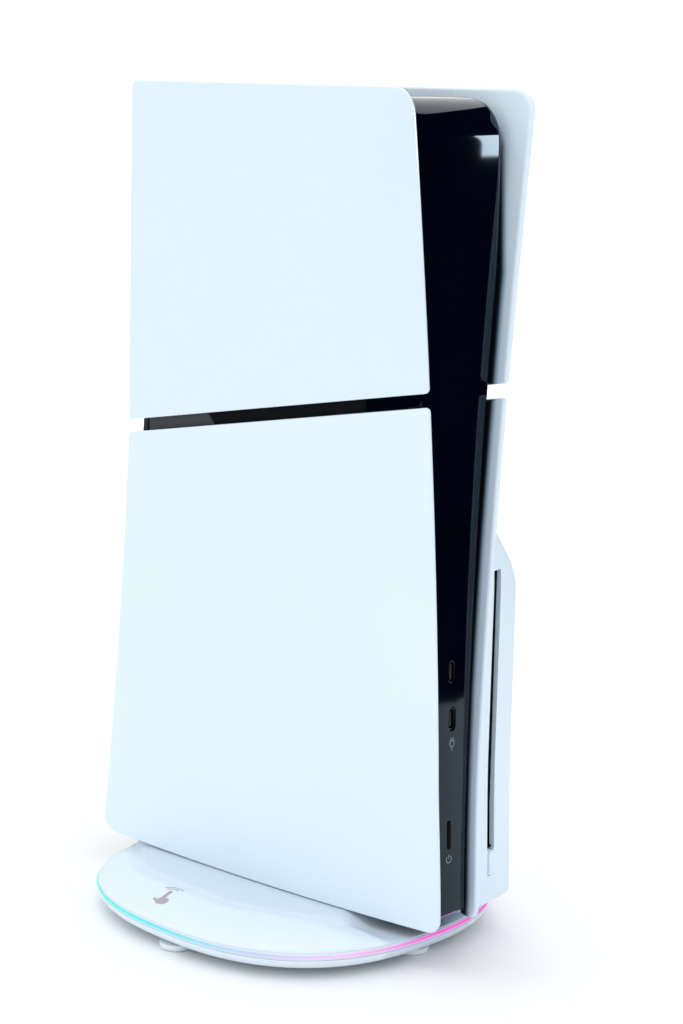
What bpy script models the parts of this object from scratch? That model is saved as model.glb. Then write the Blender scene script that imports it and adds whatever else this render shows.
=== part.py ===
"""A slim upright games console docked on a rounded light-up stand.

Metres, +Z up. The origin is on the table under the middle of the stand. The console's front faces -Y,
its disc drive is on +X. Every sub-part is one closed solid in one named object.
"""

import math

import bmesh
import bpy
from mathutils import Matrix, Vector

MM = 0.001
GAP = 0.3 * MM

# Console: overall driving dimensions.
CONSOLE_BOTTOM = 18.1 * MM
CONSOLE_HEIGHT = 358.0 * MM
CONSOLE_TOP = CONSOLE_BOTTOM + CONSOLE_HEIGHT
FRONT_Y_BOTTOM = -103.0 * MM
FRONT_Y_TOP = -99.0 * MM
BACK_Y_TOP = 86.7 * MM
BACK_Y_BOTTOM = 103.0 * MM
BACK_SWEEP_Z = 230.0 * MM
FRONT_HALF_BOTTOM = 13.2 * MM
FRONT_HALF_TOP = 38.8 * MM
FRONT_FLARE_POWER = 1.75
BACK_HALF_BOTTOM = 29.3 * MM
BACK_HALF_TOP = 25.2 * MM
PLAN_POWER = 2.2
PANEL_WALL = 2.4 * MM
PANEL_CLEARANCE = 0.9 * MM

# The sloping slit between the upper and the lower side panels.
SLIT_Z_FRONT = 250.6 * MM
SLIT_Z_BACK = 217.8 * MM
SLIT_WIDTH = 5.8 * MM

# The bulge of the lower right panel, which covers the disc drive.
BULGE_X = 52.0 * MM
BULGE_FRONT_Y = -95.5 * MM
BULGE_FRONT_RUN = 9.0 * MM
BULGE_BACK_Y = 45.0 * MM
BULGE_BACK_RUN = 45.0 * MM
BULGE_TOP_Z = 158.0 * MM
BULGE_TOP_RUN = 57.0 * MM
DISC_SLOT_X = 34.5 * MM
DISC_SLOT_WIDTH = 4.4 * MM
DISC_SLOT_TOP = 170.0 * MM
EJECT_TOP = 42.3 * MM
EJECT_BOTTOM = 31.0 * MM

# The black core between the panels.
CORE_BOTTOM = 19.0 * MM
CORE_TOP = 372.3 * MM
CORE_FRONT_TOP = -92.0 * MM
CORE_FRONT_SWEEP = 6.5 * MM
CORE_FRONT_HALF = 24.0 * MM
CORE_CORNER = 19.0 * MM
CORE_EDGE = 4.0 * MM
CORE_BACK_TOP = 79.0 * MM
CORE_BACK_BOTTOM = 93.0 * MM
CORE_WALL = 2.2 * MM
BEZEL_END_Y = -62.0 * MM
REAR_PLATE = 3.0 * MM
REAR_SPLIT_Z = 208.0 * MM
HOUSING_END_Y = 75.6 * MM
VENT_COUNT = 12
VENT_LOW_Z = 218.0 * MM
VENT_PITCH = 11.5 * MM
VENT_HALF = 18.0 * MM

# Controls and sockets, as heights above the table.
USB_C_HEIGHTS = (131.2 * MM, 110.6 * MM)
POWER_BUTTON_Z = 59.4 * MM
POWER_BUTTON_X = -1.6 * MM
POWER_BUTTON_LENGTH = 12.4 * MM
POWER_BUTTON_WIDTH = 2.0 * MM
BUTTON_CLEARANCE = 0.35 * MM

# Fan.
FAN_CENTRE = Vector((-4.0, 2.0, 298.0)) * MM
FAN_HOLE_RADIUS = 48.0 * MM
FAN_FRAME_SIDE = 102.0 * MM
FAN_DEPTH = 26.0 * MM
FAN_HUB_RADIUS = 16.0 * MM
FAN_BLADES = 9

# Disc drive.
DRIVE_LOW = Vector((28.0, -80.0, 36.0)) * MM
DRIVE_HIGH = Vector((41.2, 46.0, 174.0)) * MM
DRIVE_SPLIT_X = 38.0 * MM
DRIVE_WALL = 1.2 * MM
SPINDLE_Y = -14.0 * MM
SPINDLE_Z = 106.0 * MM

# Main board.
BOARD_X = 6.0 * MM
BOARD_THICK = 1.6 * MM

# Stand: a rounded oval, wider front to back than across. Its profiles are drawn for a round stand of
# PROFILE_RADIUS and stretched to the oval.
PROFILE_RADIUS = 87.3
STAND_HALF_X = 83.6
STAND_HALF_Y = 88.9
STAND_POWER = 2.42
COVER_RADIUS = 86.0
COVER_RIM_Z = 12.9 * MM
COVER_UNDER_Z = 12.3 * MM
CRESCENT_RISE = 3.6 * MM
CRESCENT_RUN = 28.0
DOCK_TOP = 17.7 * MM
DOCK_HALF = 26.0 * MM
FOOT_MIDDLE_Y = -2.0 * MM
FOOT_CIRCLE = 70.0 * MM
SCREW_CIRCLE = 52.0 * MM

MATERIALS = {
    "white_gloss": ((0.83, 0.90, 0.96), 0.22, 0.0),
    "white_matte": ((0.80, 0.88, 0.95), 0.45, 0.0),
    "black_gloss": ((0.012, 0.015, 0.02), 0.08, 0.0),
    "black_matte": ((0.03, 0.032, 0.036), 0.5, 0.0),
    "light_guide": ((0.75, 0.85, 1.0), 0.3, 0.0),
    "steel": ((0.62, 0.63, 0.65), 0.3, 1.0),
    "copper": ((0.75, 0.42, 0.26), 0.3, 1.0),
    "aluminium": ((0.70, 0.71, 0.73), 0.35, 1.0),
    "circuit_board": ((0.02, 0.12, 0.06), 0.5, 0.0),
    "rubber_pad": ((0.86, 0.90, 0.93), 0.7, 0.0),
}


# ---------------------------------------------------------------- scene and materials

def clear_scene():
    for obj in list(bpy.data.objects):
        bpy.data.objects.remove(obj, do_unlink=True)


def new_collection(name):
    collection = bpy.data.collections.new(name)
    bpy.context.scene.collection.children.link(collection)
    return collection


def make_material(name):
    colour, roughness, metallic = MATERIALS[name]
    material = bpy.data.materials.new(name)
    material.use_nodes = True
    shader = material.node_tree.nodes["Principled BSDF"]
    shader.inputs["Base Color"].default_value = (*colour, 1.0)
    shader.inputs["Roughness"].default_value = roughness
    shader.inputs["Metallic"].default_value = metallic
    return material


def adopt(obj, name, material, smooth_angle=35):
    """Names an object, gives it its own material and files it under the console."""
    obj.name = name
    obj.data.name = name
    obj.data.materials.clear()
    own = make_material(material)
    own.name = f"{name}_{material}"
    obj.data.materials.append(own)
    for owner in list(obj.users_collection):
        owner.objects.unlink(obj)
    PARTS.objects.link(obj)
    if obj.type == "MESH":
        obj.data.shade_smooth()
        obj.data.set_sharp_from_angle(angle=math.radians(smooth_angle))
    return obj


def as_cutter(obj):
    for owner in list(obj.users_collection):
        owner.objects.unlink(obj)
    CUTTERS.objects.link(obj)
    obj.hide_render = True
    obj.display_type = "WIRE"
    return obj


def boolean(obj, cutter, operation="DIFFERENCE"):
    modifier = obj.modifiers.new(f"{operation.lower()}_{cutter.name}", "BOOLEAN")
    modifier.operation = operation
    modifier.solver = "EXACT"
    modifier.object = cutter
    return obj


# ---------------------------------------------------------------- shape helpers

def apply_scale(obj):
    obj.data.transform(Matrix.Diagonal((*obj.scale, 1.0)))
    obj.scale = (1, 1, 1)


def raw_box(low, high):
    low, high = Vector(low), Vector(high)
    bpy.ops.mesh.primitive_cube_add(size=1, location=(low + high) / 2)
    obj = bpy.context.object
    obj.scale = high - low
    apply_scale(obj)
    return obj


def box(name, low, high, material, bevel=0.0):
    obj = adopt(raw_box(low, high), name, material)
    if bevel:
        rounding = obj.modifiers.new("rounded_edges", "BEVEL")
        rounding.width = bevel
        rounding.segments = 2
    return obj


def raw_cylinder(centre, axis, radius, depth, sides=24):
    bpy.ops.mesh.primitive_cylinder_add(vertices=sides, radius=radius, depth=depth, location=centre)
    obj = bpy.context.object
    obj.rotation_mode = "QUATERNION"
    obj.rotation_quaternion = Vector((0, 0, 1)).rotation_difference(Vector(axis))
    return obj


def cylinder(name, centre, axis, radius, depth, material, sides=24):
    return adopt(raw_cylinder(centre, axis, radius, depth, sides), name, material)


def lathe(name, profile, centre, material, steps=40):
    """Turns a closed or axis-to-axis profile of (radius, height) points about Z."""
    mesh = bpy.data.meshes.new(name)
    on_axis = profile[0][0] == 0.0
    count = len(profile)
    links = [(i, i + 1) for i in range(count - 1)]
    if not on_axis:
        links.append((count - 1, 0))
    mesh.from_pydata([(r, 0, z) for r, z in profile], links, [])
    obj = bpy.data.objects.new(name, mesh)
    bpy.context.scene.collection.objects.link(obj)
    obj.location = centre
    adopt(obj, name, material)
    screw = obj.modifiers.new("turned", "SCREW")
    screw.steps = steps
    screw.render_steps = steps
    screw.use_merge_vertices = True
    screw.merge_threshold = 0.00001
    screw.use_smooth_shade = True
    return obj


def prism(name, outlines, centre, axis, depth, material):
    """A flat outline, with any holes, extruded evenly to both sides of centre along axis."""
    curve = bpy.data.curves.new(name, "CURVE")
    curve.dimensions = "2D"
    curve.fill_mode = "BOTH"
    curve.extrude = depth / 2
    for outline in outlines:
        spline = curve.splines.new("POLY")
        spline.points.add(len(outline) - 1)
        for point, (u, v) in zip(spline.points, outline):
            point.co = (u, v, 0, 1)
        spline.use_cyclic_u = True
    obj = bpy.data.objects.new(name, curve)
    bpy.context.scene.collection.objects.link(obj)
    adopt(obj, name, material)
    turn = {"X": Matrix(((0, 0, 1), (1, 0, 0), (0, 1, 0))), "Z": Matrix.Identity(3)}[axis]
    obj.matrix_world = Matrix.Translation(centre) @ turn.to_4x4()
    return obj


def tube(name, points, radius, material):
    """A round rod or pipe through the given points."""
    curve = bpy.data.curves.new(name, "CURVE")
    curve.dimensions = "3D"
    curve.bevel_depth = radius
    curve.bevel_resolution = 2
    curve.use_fill_caps = True
    spline = curve.splines.new("POLY")
    spline.points.add(len(points) - 1)
    for point, place in zip(spline.points, points):
        point.co = (*place, 1)
    obj = bpy.data.objects.new(name, curve)
    bpy.context.scene.collection.objects.link(obj)
    return adopt(obj, name, material)


def solid_mesh(name, points, faces):
    mesh = bpy.data.meshes.new(name)
    mesh.from_pydata(points, [], faces)
    cage = bmesh.new()
    cage.from_mesh(mesh)
    bmesh.ops.triangulate(cage, faces=cage.faces)
    bmesh.ops.recalc_face_normals(cage, faces=cage.faces)
    cage.to_mesh(mesh)
    cage.free()
    obj = bpy.data.objects.new(name, mesh)
    bpy.context.scene.collection.objects.link(obj)
    return obj


def loft(name, rings):
    """A closed solid through rings of equally many points, with its two ends capped."""
    count = len(rings[0])
    points = [point for ring in rings for point in ring]
    faces = []
    for level in range(len(rings) - 1):
        low, high = level * count, (level + 1) * count
        for i in range(count):
            j = (i + 1) % count
            faces.append((low + i, low + j, high + j, high + i))
    faces.append(tuple(range(count)))
    last = (len(rings) - 1) * count
    faces.append(tuple(last + i for i in range(count)))
    return solid_mesh(name, points, faces)


def rounded_rectangle(width, height, radius, steps=4):
    outline = []
    for corner in range(4):
        sign_u = (1, -1, -1, 1)[corner]
        sign_v = (1, 1, -1, -1)[corner]
        for k in range(steps + 1):
            angle = math.radians(90 * corner + 90 * k / steps)
            u = sign_u * (width / 2 - radius) + radius * math.cos(angle)
            v = sign_v * (height / 2 - radius) + radius * math.sin(angle)
            outline.append((u, v))
    return outline


def circle(radius, sides=40):
    return [
        (radius * math.cos(2 * math.pi * k / sides), radius * math.sin(2 * math.pi * k / sides))
        for k in range(sides)
    ]


def smoothstep(value):
    value = min(max(value, 0.0), 1.0)
    return value * value * (3 - 2 * value)


# ---------------------------------------------------------------- the console's outer surface

def height_share(z):
    return min(max((z - CONSOLE_BOTTOM) / CONSOLE_HEIGHT, 0.0), 1.0)


def front_edge_y(z):
    return FRONT_Y_BOTTOM + (FRONT_Y_TOP - FRONT_Y_BOTTOM) * height_share(z)


def back_edge_y(z):
    below = max(BACK_SWEEP_Z - z, 0.0) / (BACK_SWEEP_Z - CONSOLE_BOTTOM)
    return BACK_Y_TOP + (BACK_Y_BOTTOM - BACK_Y_TOP) * below**1.5


def half_width(y, z):
    """How far the outer face of a side panel is from the middle plane."""
    share = height_share(z)
    front = FRONT_HALF_BOTTOM + (FRONT_HALF_TOP - FRONT_HALF_BOTTOM) * share**FRONT_FLARE_POWER
    back = BACK_HALF_BOTTOM + (BACK_HALF_TOP - BACK_HALF_BOTTOM) * share
    run = back_edge_y(z) - front_edge_y(z)
    forward = min(max((back_edge_y(z) - y) / run, 0.0), 1.0)
    return back + (front - back) * forward**PLAN_POWER


def slit_z(y):
    forward = (BACK_Y_TOP - y) / (BACK_Y_TOP - FRONT_Y_TOP)
    return SLIT_Z_BACK + (SLIT_Z_FRONT - SLIT_Z_BACK) * forward


def bulge(y, z, inset):
    """Share of the drive bulge at a place on the lower right panel; inset is for its inner face."""
    front = smoothstep((y - BULGE_FRONT_Y - inset) / BULGE_FRONT_RUN)
    back = 1 - smoothstep((y - BULGE_BACK_Y + inset) / BULGE_BACK_RUN)
    top = 1 - smoothstep((z - BULGE_TOP_Z + inset) / BULGE_TOP_RUN)
    return front * back * top


def corner_inset(distance, radius):
    """How far a rounded corner draws an edge in, at a distance from the panel's end."""
    if distance >= radius:
        return 0.0
    return radius - math.sqrt(radius**2 - (radius - distance) ** 2)


def panel(name, side, low, high, radii, columns, rows, with_bulge=False):
    """A curved side panel between two edges low(y) and high(y).

    radii are those of the corners low front, low back, high front and high back.
    """
    def place(row, column, inner):
        front_y, back_y = front_edge_y(high(0)), back_edge_y(high(0))
        for _ in range(2):
            front_z = low(front_y) + row * (high(front_y) - low(front_y))
            back_z = low(back_y) + row * (high(back_y) - low(back_y))
            front_y, back_y = front_edge_y(front_z), back_edge_y(back_z)
        tall_front = high(front_y) - low(front_y)
        tall_back = high(back_y) - low(back_y)
        front_y += corner_inset(row * tall_front, radii[0])
        front_y += corner_inset((1 - row) * tall_front, radii[2])
        back_y -= corner_inset(row * tall_back, radii[1])
        back_y -= corner_inset((1 - row) * tall_back, radii[3])
        y = front_y + column * (back_y - front_y)
        z = low(y) + row * (high(y) - low(y))
        wall = half_width(y, z)
        x = wall - (PANEL_WALL if inner else 0.0)
        if with_bulge:
            x += (BULGE_X - wall) * bulge(y, z, PANEL_WALL if inner else 0.0)
        return side * x, y, z

    across, up = len(columns), len(rows)
    points = [place(row, column, inner) for inner in (False, True) for row in rows for column in columns]
    back = across * up
    faces = []
    for i in range(up - 1):
        for j in range(across - 1):
            a, b = i * across + j, i * across + j + 1
            c, d = b + across, a + across
            faces.append((a, b, c, d))
            faces.append((back + a, back + d, back + c, back + b))
    rim = [j for j in range(across)]
    rim += [i * across + across - 1 for i in range(1, up)]
    rim += [(up - 1) * across + j for j in range(across - 2, -1, -1)]
    rim += [i * across for i in range(up - 2, 0, -1)]
    for a, b in zip(rim, rim[1:] + rim[:1]):
        faces.append((a, b, back + b, back + a))
    return solid_mesh(name, points, faces)


def end_rows(height, low_radius, high_radius, middle):
    """Row shares with extra rows along the rounded corners."""
    turns = (0.0, 0.13, 0.5, 1.0)
    rows = [low_radius * t / height for t in turns]
    rows += list(middle)
    rows += [1 - high_radius * t / height for t in reversed(turns)]
    return rows


# ---------------------------------------------------------------- side panels

PLAIN_COLUMNS = (0.0, 0.03, 0.08, 0.16, 0.27, 0.4, 0.55, 0.7, 0.85, 1.0)


def upper_panel(name, side):
    height = CONSOLE_TOP - SLIT_Z_FRONT
    rows = end_rows(height, 2.0 * MM, 10.0 * MM, (0.2, 0.4, 0.6, 0.78))
    obj = panel(
        name, side, lambda y: slit_z(y) + SLIT_WIDTH / 2, lambda y: CONSOLE_TOP,
        (2.0 * MM, 2.0 * MM, 10.0 * MM, 3.0 * MM), PLAIN_COLUMNS, rows,
    )
    return adopt(obj, name, "white_gloss")


def left_lower_panel():
    height = SLIT_Z_FRONT - CONSOLE_BOTTOM
    rows = end_rows(height, 9.0 * MM, 2.0 * MM, (0.12, 0.25, 0.4, 0.55, 0.7, 0.85))
    obj = panel(
        "left_lower_panel", -1, lambda y: CONSOLE_BOTTOM, lambda y: slit_z(y) - SLIT_WIDTH / 2,
        (6.0 * MM, 9.0 * MM, 2.0 * MM, 2.0 * MM), PLAIN_COLUMNS, rows,
    )
    return adopt(obj, "left_lower_panel", "white_matte")


def disc_drive_cover():
    height = SLIT_Z_FRONT - CONSOLE_BOTTOM
    rows = end_rows(height, 5.0 * MM, 2.0 * MM,
                    (0.2, 0.4, 0.55, 0.6, 0.65, 0.7, 0.75, 0.8, 0.86))
    columns = (0.0, 0.015, 0.03, 0.038, 0.047, 0.056, 0.065, 0.075, 0.09, 0.11, 0.2, 0.4, 0.6,
               0.72, 0.78, 0.84, 0.9, 0.95, 1.0)
    obj = panel(
        "disc_drive_cover", 1, lambda y: CONSOLE_BOTTOM, lambda y: slit_z(y) - SLIT_WIDTH / 2,
        (6.0 * MM, 9.0 * MM, 2.0 * MM, 2.0 * MM), columns, rows, with_bulge=True,
    )
    adopt(obj, "disc_drive_cover", "white_matte")
    half = DISC_SLOT_WIDTH / 2 + BUTTON_CLEARANCE
    slot = raw_box(
        (DISC_SLOT_X - half, BULGE_FRONT_Y - 6 * MM, EJECT_BOTTOM - BUTTON_CLEARANCE),
        (DISC_SLOT_X + half, BULGE_FRONT_Y + 15 * MM, DISC_SLOT_TOP),
    )
    slot.name = "disc_slot_cutter"
    return boolean(obj, as_cutter(slot))


def eject_button():
    half = DISC_SLOT_WIDTH / 2
    low = (DISC_SLOT_X - half, BULGE_FRONT_Y + 3.9 * MM, EJECT_BOTTOM)
    high = (DISC_SLOT_X + half, BULGE_FRONT_Y + 12.0 * MM, EJECT_TOP)
    return box("eject_button", low, high, "white_matte", bevel=0.5 * MM)


# ---------------------------------------------------------------- core shells

def core_front_y(z):
    share = 1 - height_share(z)
    return CORE_FRONT_TOP - CORE_FRONT_SWEEP * share**2


def core_back_y(z):
    share = min(max((z - 30 * MM) / (BACK_SWEEP_Z - 30 * MM), 0.0), 1.0)
    return CORE_BACK_BOTTOM + (CORE_BACK_TOP - CORE_BACK_BOTTOM) * share


def core_half(y, z):
    side = half_width(y, z) - PANEL_WALL - PANEL_CLEARANCE
    narrow = min(CORE_FRONT_HALF, side)
    return narrow + (side - narrow) * smoothstep((y - BEZEL_END_Y) / (16 * MM))


def core_ring(z, inset):
    """The core's outline at height z, drawn in by inset, starting at the front left."""
    into_corner = max(z - (CORE_TOP - CORE_CORNER), 0.0)
    drawn_back = CORE_CORNER - math.sqrt(max(CORE_CORNER**2 - into_corner**2, 0.0))
    front = core_front_y(z) + drawn_back + inset
    back = core_back_y(z) - inset
    near_top = max(z - (CORE_TOP - CORE_EDGE), 0.0)
    narrowed = CORE_EDGE - math.sqrt(max(CORE_EDGE**2 - near_top**2, 0.0))
    right = []
    for k in range(4):
        angle = math.radians(90 - 30 * k)
        y = front + CORE_EDGE * (1 - math.sin(angle))
        right.append((core_half(y, z) - inset - narrowed - CORE_EDGE * (1 - math.cos(angle)), y))
    for share in (0.15, 0.3, 0.45, 0.65, 0.85, 1.0):
        y = front + CORE_EDGE + share * (back - front - CORE_EDGE)
        right.append((core_half(y, z) - inset - narrowed, y))
    left = [(-x, y) for x, y in reversed(right)]
    return [Vector((x, y, z)) for x, y in right + left]


def core_solid(name, inset):
    """The whole core as one solid; shells are cut from it. inset draws every face in."""
    turned = [CORE_TOP - CORE_CORNER * (1 - math.sin(math.radians(a))) for a in (0, 25, 48, 66, 80, 90)]
    straight = [CORE_BOTTOM, 70 * MM, 130 * MM, 190 * MM, 250 * MM, 305 * MM]
    low, high = CORE_BOTTOM + inset, CORE_TOP - inset
    levels = sorted({min(max(z, low), high) for z in straight + turned})
    rings = [core_ring(z, inset) for z in levels]
    return loft(name, rings)


def core_piece(name, material, low, high, hollow):
    """The part of the core's shell that lies inside a box."""
    obj = adopt(core_solid(name, 0.0), name, material)
    block = raw_box(low, high)
    block.name = f"{name}_block"
    boolean(obj, as_cutter(block), "INTERSECT")
    if hollow:
        boolean(obj, hollow)
    return obj


def core_shells():
    hollow = as_cutter(core_solid("core_hollow", CORE_WALL))
    reach = 0.2
    bezel = core_piece("front_bezel", "black_gloss", (-reach, -reach, 0), (reach, BEZEL_END_Y, 0.5), hollow)
    for number, z in enumerate(USB_C_HEIGHTS, 1):
        hole = raw_box((-2.5 * MM, -0.12, z - 5.2 * MM), (2.5 * MM, -0.08, z + 5.2 * MM))
        hole.name = f"usb_c_hole_{number}"
        boolean(bezel, as_cutter(hole))
    half = POWER_BUTTON_WIDTH / 2 + BUTTON_CLEARANCE
    tall = POWER_BUTTON_LENGTH / 2 + BUTTON_CLEARANCE
    slit = raw_box(
        (POWER_BUTTON_X - half, -0.12, POWER_BUTTON_Z - tall),
        (POWER_BUTTON_X + half, -0.08, POWER_BUTTON_Z + tall),
    )
    slit.name = "power_button_hole"
    boolean(bezel, as_cutter(slit))
    sides = (("left_housing", -reach, -GAP / 2), ("right_housing", GAP / 2, reach))
    for name, x_low, x_high in sides:
        core_piece(name, "black_matte", (x_low, BEZEL_END_Y + GAP, 0), (x_high, HOUSING_END_Y, 0.5), hollow)


def rear_plate(name, levels):
    """One piece of the back of the core, which follows its slope between the given heights."""
    rings = []
    for z in levels:
        back = core_back_y(z)
        front = max(back - REAR_PLATE, HOUSING_END_Y + GAP)
        half = core_half(back, z)
        ring = ((half, front), (half, back), (-half, back), (-half, front))
        rings.append([Vector((x, y, z)) for x, y in ring])
    return adopt(loft(name, rings), name, "black_matte")


def rear_panels():
    """The socket plate and, above it, the exhaust grille."""
    sockets = rear_plate("rear_socket_plate", (CORE_BOTTOM, 70 * MM, 130 * MM, 190 * MM, REAR_SPLIT_Z))
    for name, centre, size in SOCKETS:
        x, z = centre[0] * MM, centre[1] * MM
        wide, tall = (size[0] / 2 + 0.4) * MM, (size[1] / 2 + 0.4) * MM
        hole = raw_box((x - wide, 0.06, z - tall), (x + wide, 0.12, z + tall))
        hole.name = f"{name}_hole"
        boolean(sockets, as_cutter(hole))
    grille = rear_plate(
        "rear_grille", (REAR_SPLIT_Z + GAP, BACK_SWEEP_Z, 270 * MM, 320 * MM, CORE_TOP - 6 * MM)
    )
    for number in range(VENT_COUNT):
        z = VENT_LOW_Z + VENT_PITCH * number
        vent = raw_box((-VENT_HALF, 0.06, z - 2 * MM), (VENT_HALF, 0.12, z + 2 * MM))
        vent.name = f"vent_cutter_{number}"
        boolean(grille, as_cutter(vent))


# ---------------------------------------------------------------- sockets and buttons

# Rear sockets: name, centre (x, z) and size (x, z), in millimetres.
SOCKETS = (
    ("rear_usb_a_upper", (-1.0, 190.0), (5.8, 13.2)),
    ("rear_usb_a_lower", (-1.0, 170.0), (5.8, 13.2)),
    ("lan_socket", (-2.0, 145.0), (13.6, 15.8)),
    ("hdmi_socket", (-1.0, 120.0), (5.6, 15.2)),
    ("ac_inlet", (-3.0, 72.0), (12.0, 20.0)),
)
TONGUES = {
    "rear_usb_a_upper": (1.8, 11.0),
    "rear_usb_a_lower": (1.8, 11.0),
    "hdmi_socket": (1.2, 12.0),
}


def socket_shell(name, low, high, mouth_y, tongue):
    """A thin metal or plastic socket, open at mouth_y, with its contact tongue inside."""
    obj = adopt(raw_box(low, high), name, "steel")
    low, high = Vector(low), Vector(high)
    wall = 0.5 * MM
    centre = (low + high) / 2
    outward = 1 if mouth_y > centre.y else -1
    inner_low, inner_high = low + Vector((wall, 0, wall)), high - Vector((wall, 0, wall))
    inner_low.y = low.y + (1.5 * MM if outward > 0 else -MM)
    inner_high.y = high.y + (MM if outward > 0 else -1.5 * MM)
    hollow = raw_box(inner_low, inner_high)
    hollow.name = f"{name}_hollow"
    if tongue:
        half = Vector((tongue[0] / 2, 0, tongue[1] / 2)) * MM
        keep_low = Vector((centre.x, low.y - 2 * MM, centre.z)) - half
        keep_high = Vector((centre.x, high.y + 2 * MM, centre.z)) + half
        inset = 1.2 * MM
        if outward > 0:
            keep_high.y = high.y - inset
        else:
            keep_low.y = low.y + inset
        keep = raw_box(keep_low, keep_high)
        keep.name = f"{name}_tongue"
        boolean(hollow, as_cutter(keep))
    return boolean(obj, as_cutter(hollow))


def rear_sockets():
    for name, centre, size in SOCKETS:
        x, z = centre[0] * MM, centre[1] * MM
        wide, tall = size[0] / 2 * MM, size[1] / 2 * MM
        mouth = core_back_y(z) - 0.7 * MM
        deep = 11.5 * MM
        socket_shell(name, (x - wide, mouth - deep, z - tall), (x + wide, mouth, z + tall), mouth,
                     TONGUES.get(name))


def front_sockets():
    for name, z in zip(("front_usb_c_upper", "front_usb_c_lower"), USB_C_HEIGHTS):
        mouth = core_front_y(z) + 0.6 * MM
        socket_shell(name, (-1.9 * MM, mouth, z - 4.7 * MM), (1.9 * MM, mouth + 8 * MM, z + 4.7 * MM),
                     mouth, (0.8, 6.8))


def power_button():
    front = core_front_y(POWER_BUTTON_Z) - 0.3 * MM
    half, tall = POWER_BUTTON_WIDTH / 2, POWER_BUTTON_LENGTH / 2
    low = (POWER_BUTTON_X - half, front, POWER_BUTTON_Z - tall)
    high = (POWER_BUTTON_X + half, front + 6 * MM, POWER_BUTTON_Z + tall)
    box("power_button", low, high, "black_gloss", bevel=0.6 * MM)
    back = front + 7.8 * MM
    box("power_switch", (POWER_BUTTON_X - 2.5 * MM, back, POWER_BUTTON_Z - 3 * MM),
        (POWER_BUTTON_X + 2.5 * MM, back + 3.5 * MM, POWER_BUTTON_Z + 3 * MM), "black_matte", 0.4 * MM)


# ---------------------------------------------------------------- inside the core

def fan():
    prism(
        "fan_frame", [rounded_rectangle(FAN_FRAME_SIDE, FAN_FRAME_SIDE, 8 * MM), circle(FAN_HOLE_RADIUS)],
        FAN_CENTRE, "X", FAN_DEPTH, "black_matte",
    )
    outline = []
    tip_radius = FAN_HOLE_RADIUS - 1.2 * MM
    for blade in range(FAN_BLADES):
        start = 360 / FAN_BLADES * blade
        for radius, turn in ((FAN_HUB_RADIUS, 0), ((FAN_HUB_RADIUS + tip_radius) / 2, 12), (tip_radius, 16),
                             (tip_radius, 26), ((FAN_HUB_RADIUS + tip_radius) / 2, 20),
                             (FAN_HUB_RADIUS, 12), (FAN_HUB_RADIUS, 26)):
            angle = math.radians(start + turn)
            outline.append((radius * math.cos(angle), radius * math.sin(angle)))
    prism("fan_rotor", [outline], FAN_CENTRE - Vector((2 * MM, 0, 0)), "X", 18 * MM, "black_matte")
    arms = []
    for arm in range(3):
        for radius, turn in ((14 * MM, -50), (14 * MM, -18), (FAN_HOLE_RADIUS + 3 * MM, -5),
                             (FAN_HOLE_RADIUS + 3 * MM, 5), (14 * MM, 18), (14 * MM, 50)):
            angle = math.radians(90 + 120 * arm + turn)
            arms.append((radius * math.cos(angle), radius * math.sin(angle)))
    prism("fan_spider", [arms], FAN_CENTRE + Vector((FAN_DEPTH / 2 + 1.6 * MM, 0, 0)), "X", 2 * MM,
          "black_matte")


def heatsink():
    """A base plate with upright fins, drawn as one comb-shaped outline."""
    base_low, base_high, fin_end = -1.5 * MM, 1.9 * MM, -11.0 * MM
    front, back, fins = -30.0 * MM, 58.0 * MM, 12
    pitch = (back - front) / fins
    outline = [(base_high, front), (base_high, back), (base_low, back)]
    for k in range(fins):
        y = back - pitch * k
        outline += [(fin_end, y), (fin_end, y - 1.2 * MM), (base_low, y - 1.2 * MM)]
        if k < fins - 1:
            outline.append((base_low, y - pitch))
    outline.append((base_low, front))
    prism("heatsink", [outline], Vector((0, 0, 184 * MM)), "Z", 104 * MM, "aluminium")
    for number, z in ((1, 165 * MM), (2, 205 * MM)):
        turn = [
            (-14.5 * MM, (-22 + 8 * math.sin(math.radians(a))) * MM, z - 9 * MM * math.cos(math.radians(a)))
            for a in (0, -22, -45, -67, -90, -112, -135, -157, -180)
        ]
        points = [(-14.5 * MM, 56 * MM, z - 9 * MM)] + turn + [(-14.5 * MM, 56 * MM, z + 9 * MM)]
        tube(f"heat_pipe_{number}", points, 3 * MM, "copper")


def electronics():
    side = BOARD_X + BOARD_THICK
    box("main_board", (BOARD_X, -84 * MM, 32 * MM), (side, 74 * MM, 240 * MM), "circuit_board")
    box("processor", (2.3 * MM, -8 * MM, 168 * MM), (BOARD_X - GAP, 30 * MM, 206 * MM), "steel", 0.5 * MM)
    box("power_supply", (-17 * MM, 8 * MM, 27 * MM), (5.2 * MM, 74 * MM, 124 * MM), "black_matte", 2 * MM)
    box("ssd_module", (side + 1.2 * MM, -22 * MM, 150 * MM), (side + 3.5 * MM, 58 * MM, 172 * MM),
        "circuit_board")
    box("ssd_cover", (side + 4.2 * MM, -28 * MM, 146 * MM), (side + 5.2 * MM, 66 * MM, 176 * MM), "steel")
    box("wireless_module", (side + 0.4 * MM, -76 * MM, 196 * MM), (side + 2.8 * MM, -60 * MM, 220 * MM),
        "steel", 0.4 * MM)


# ---------------------------------------------------------------- disc drive

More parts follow.
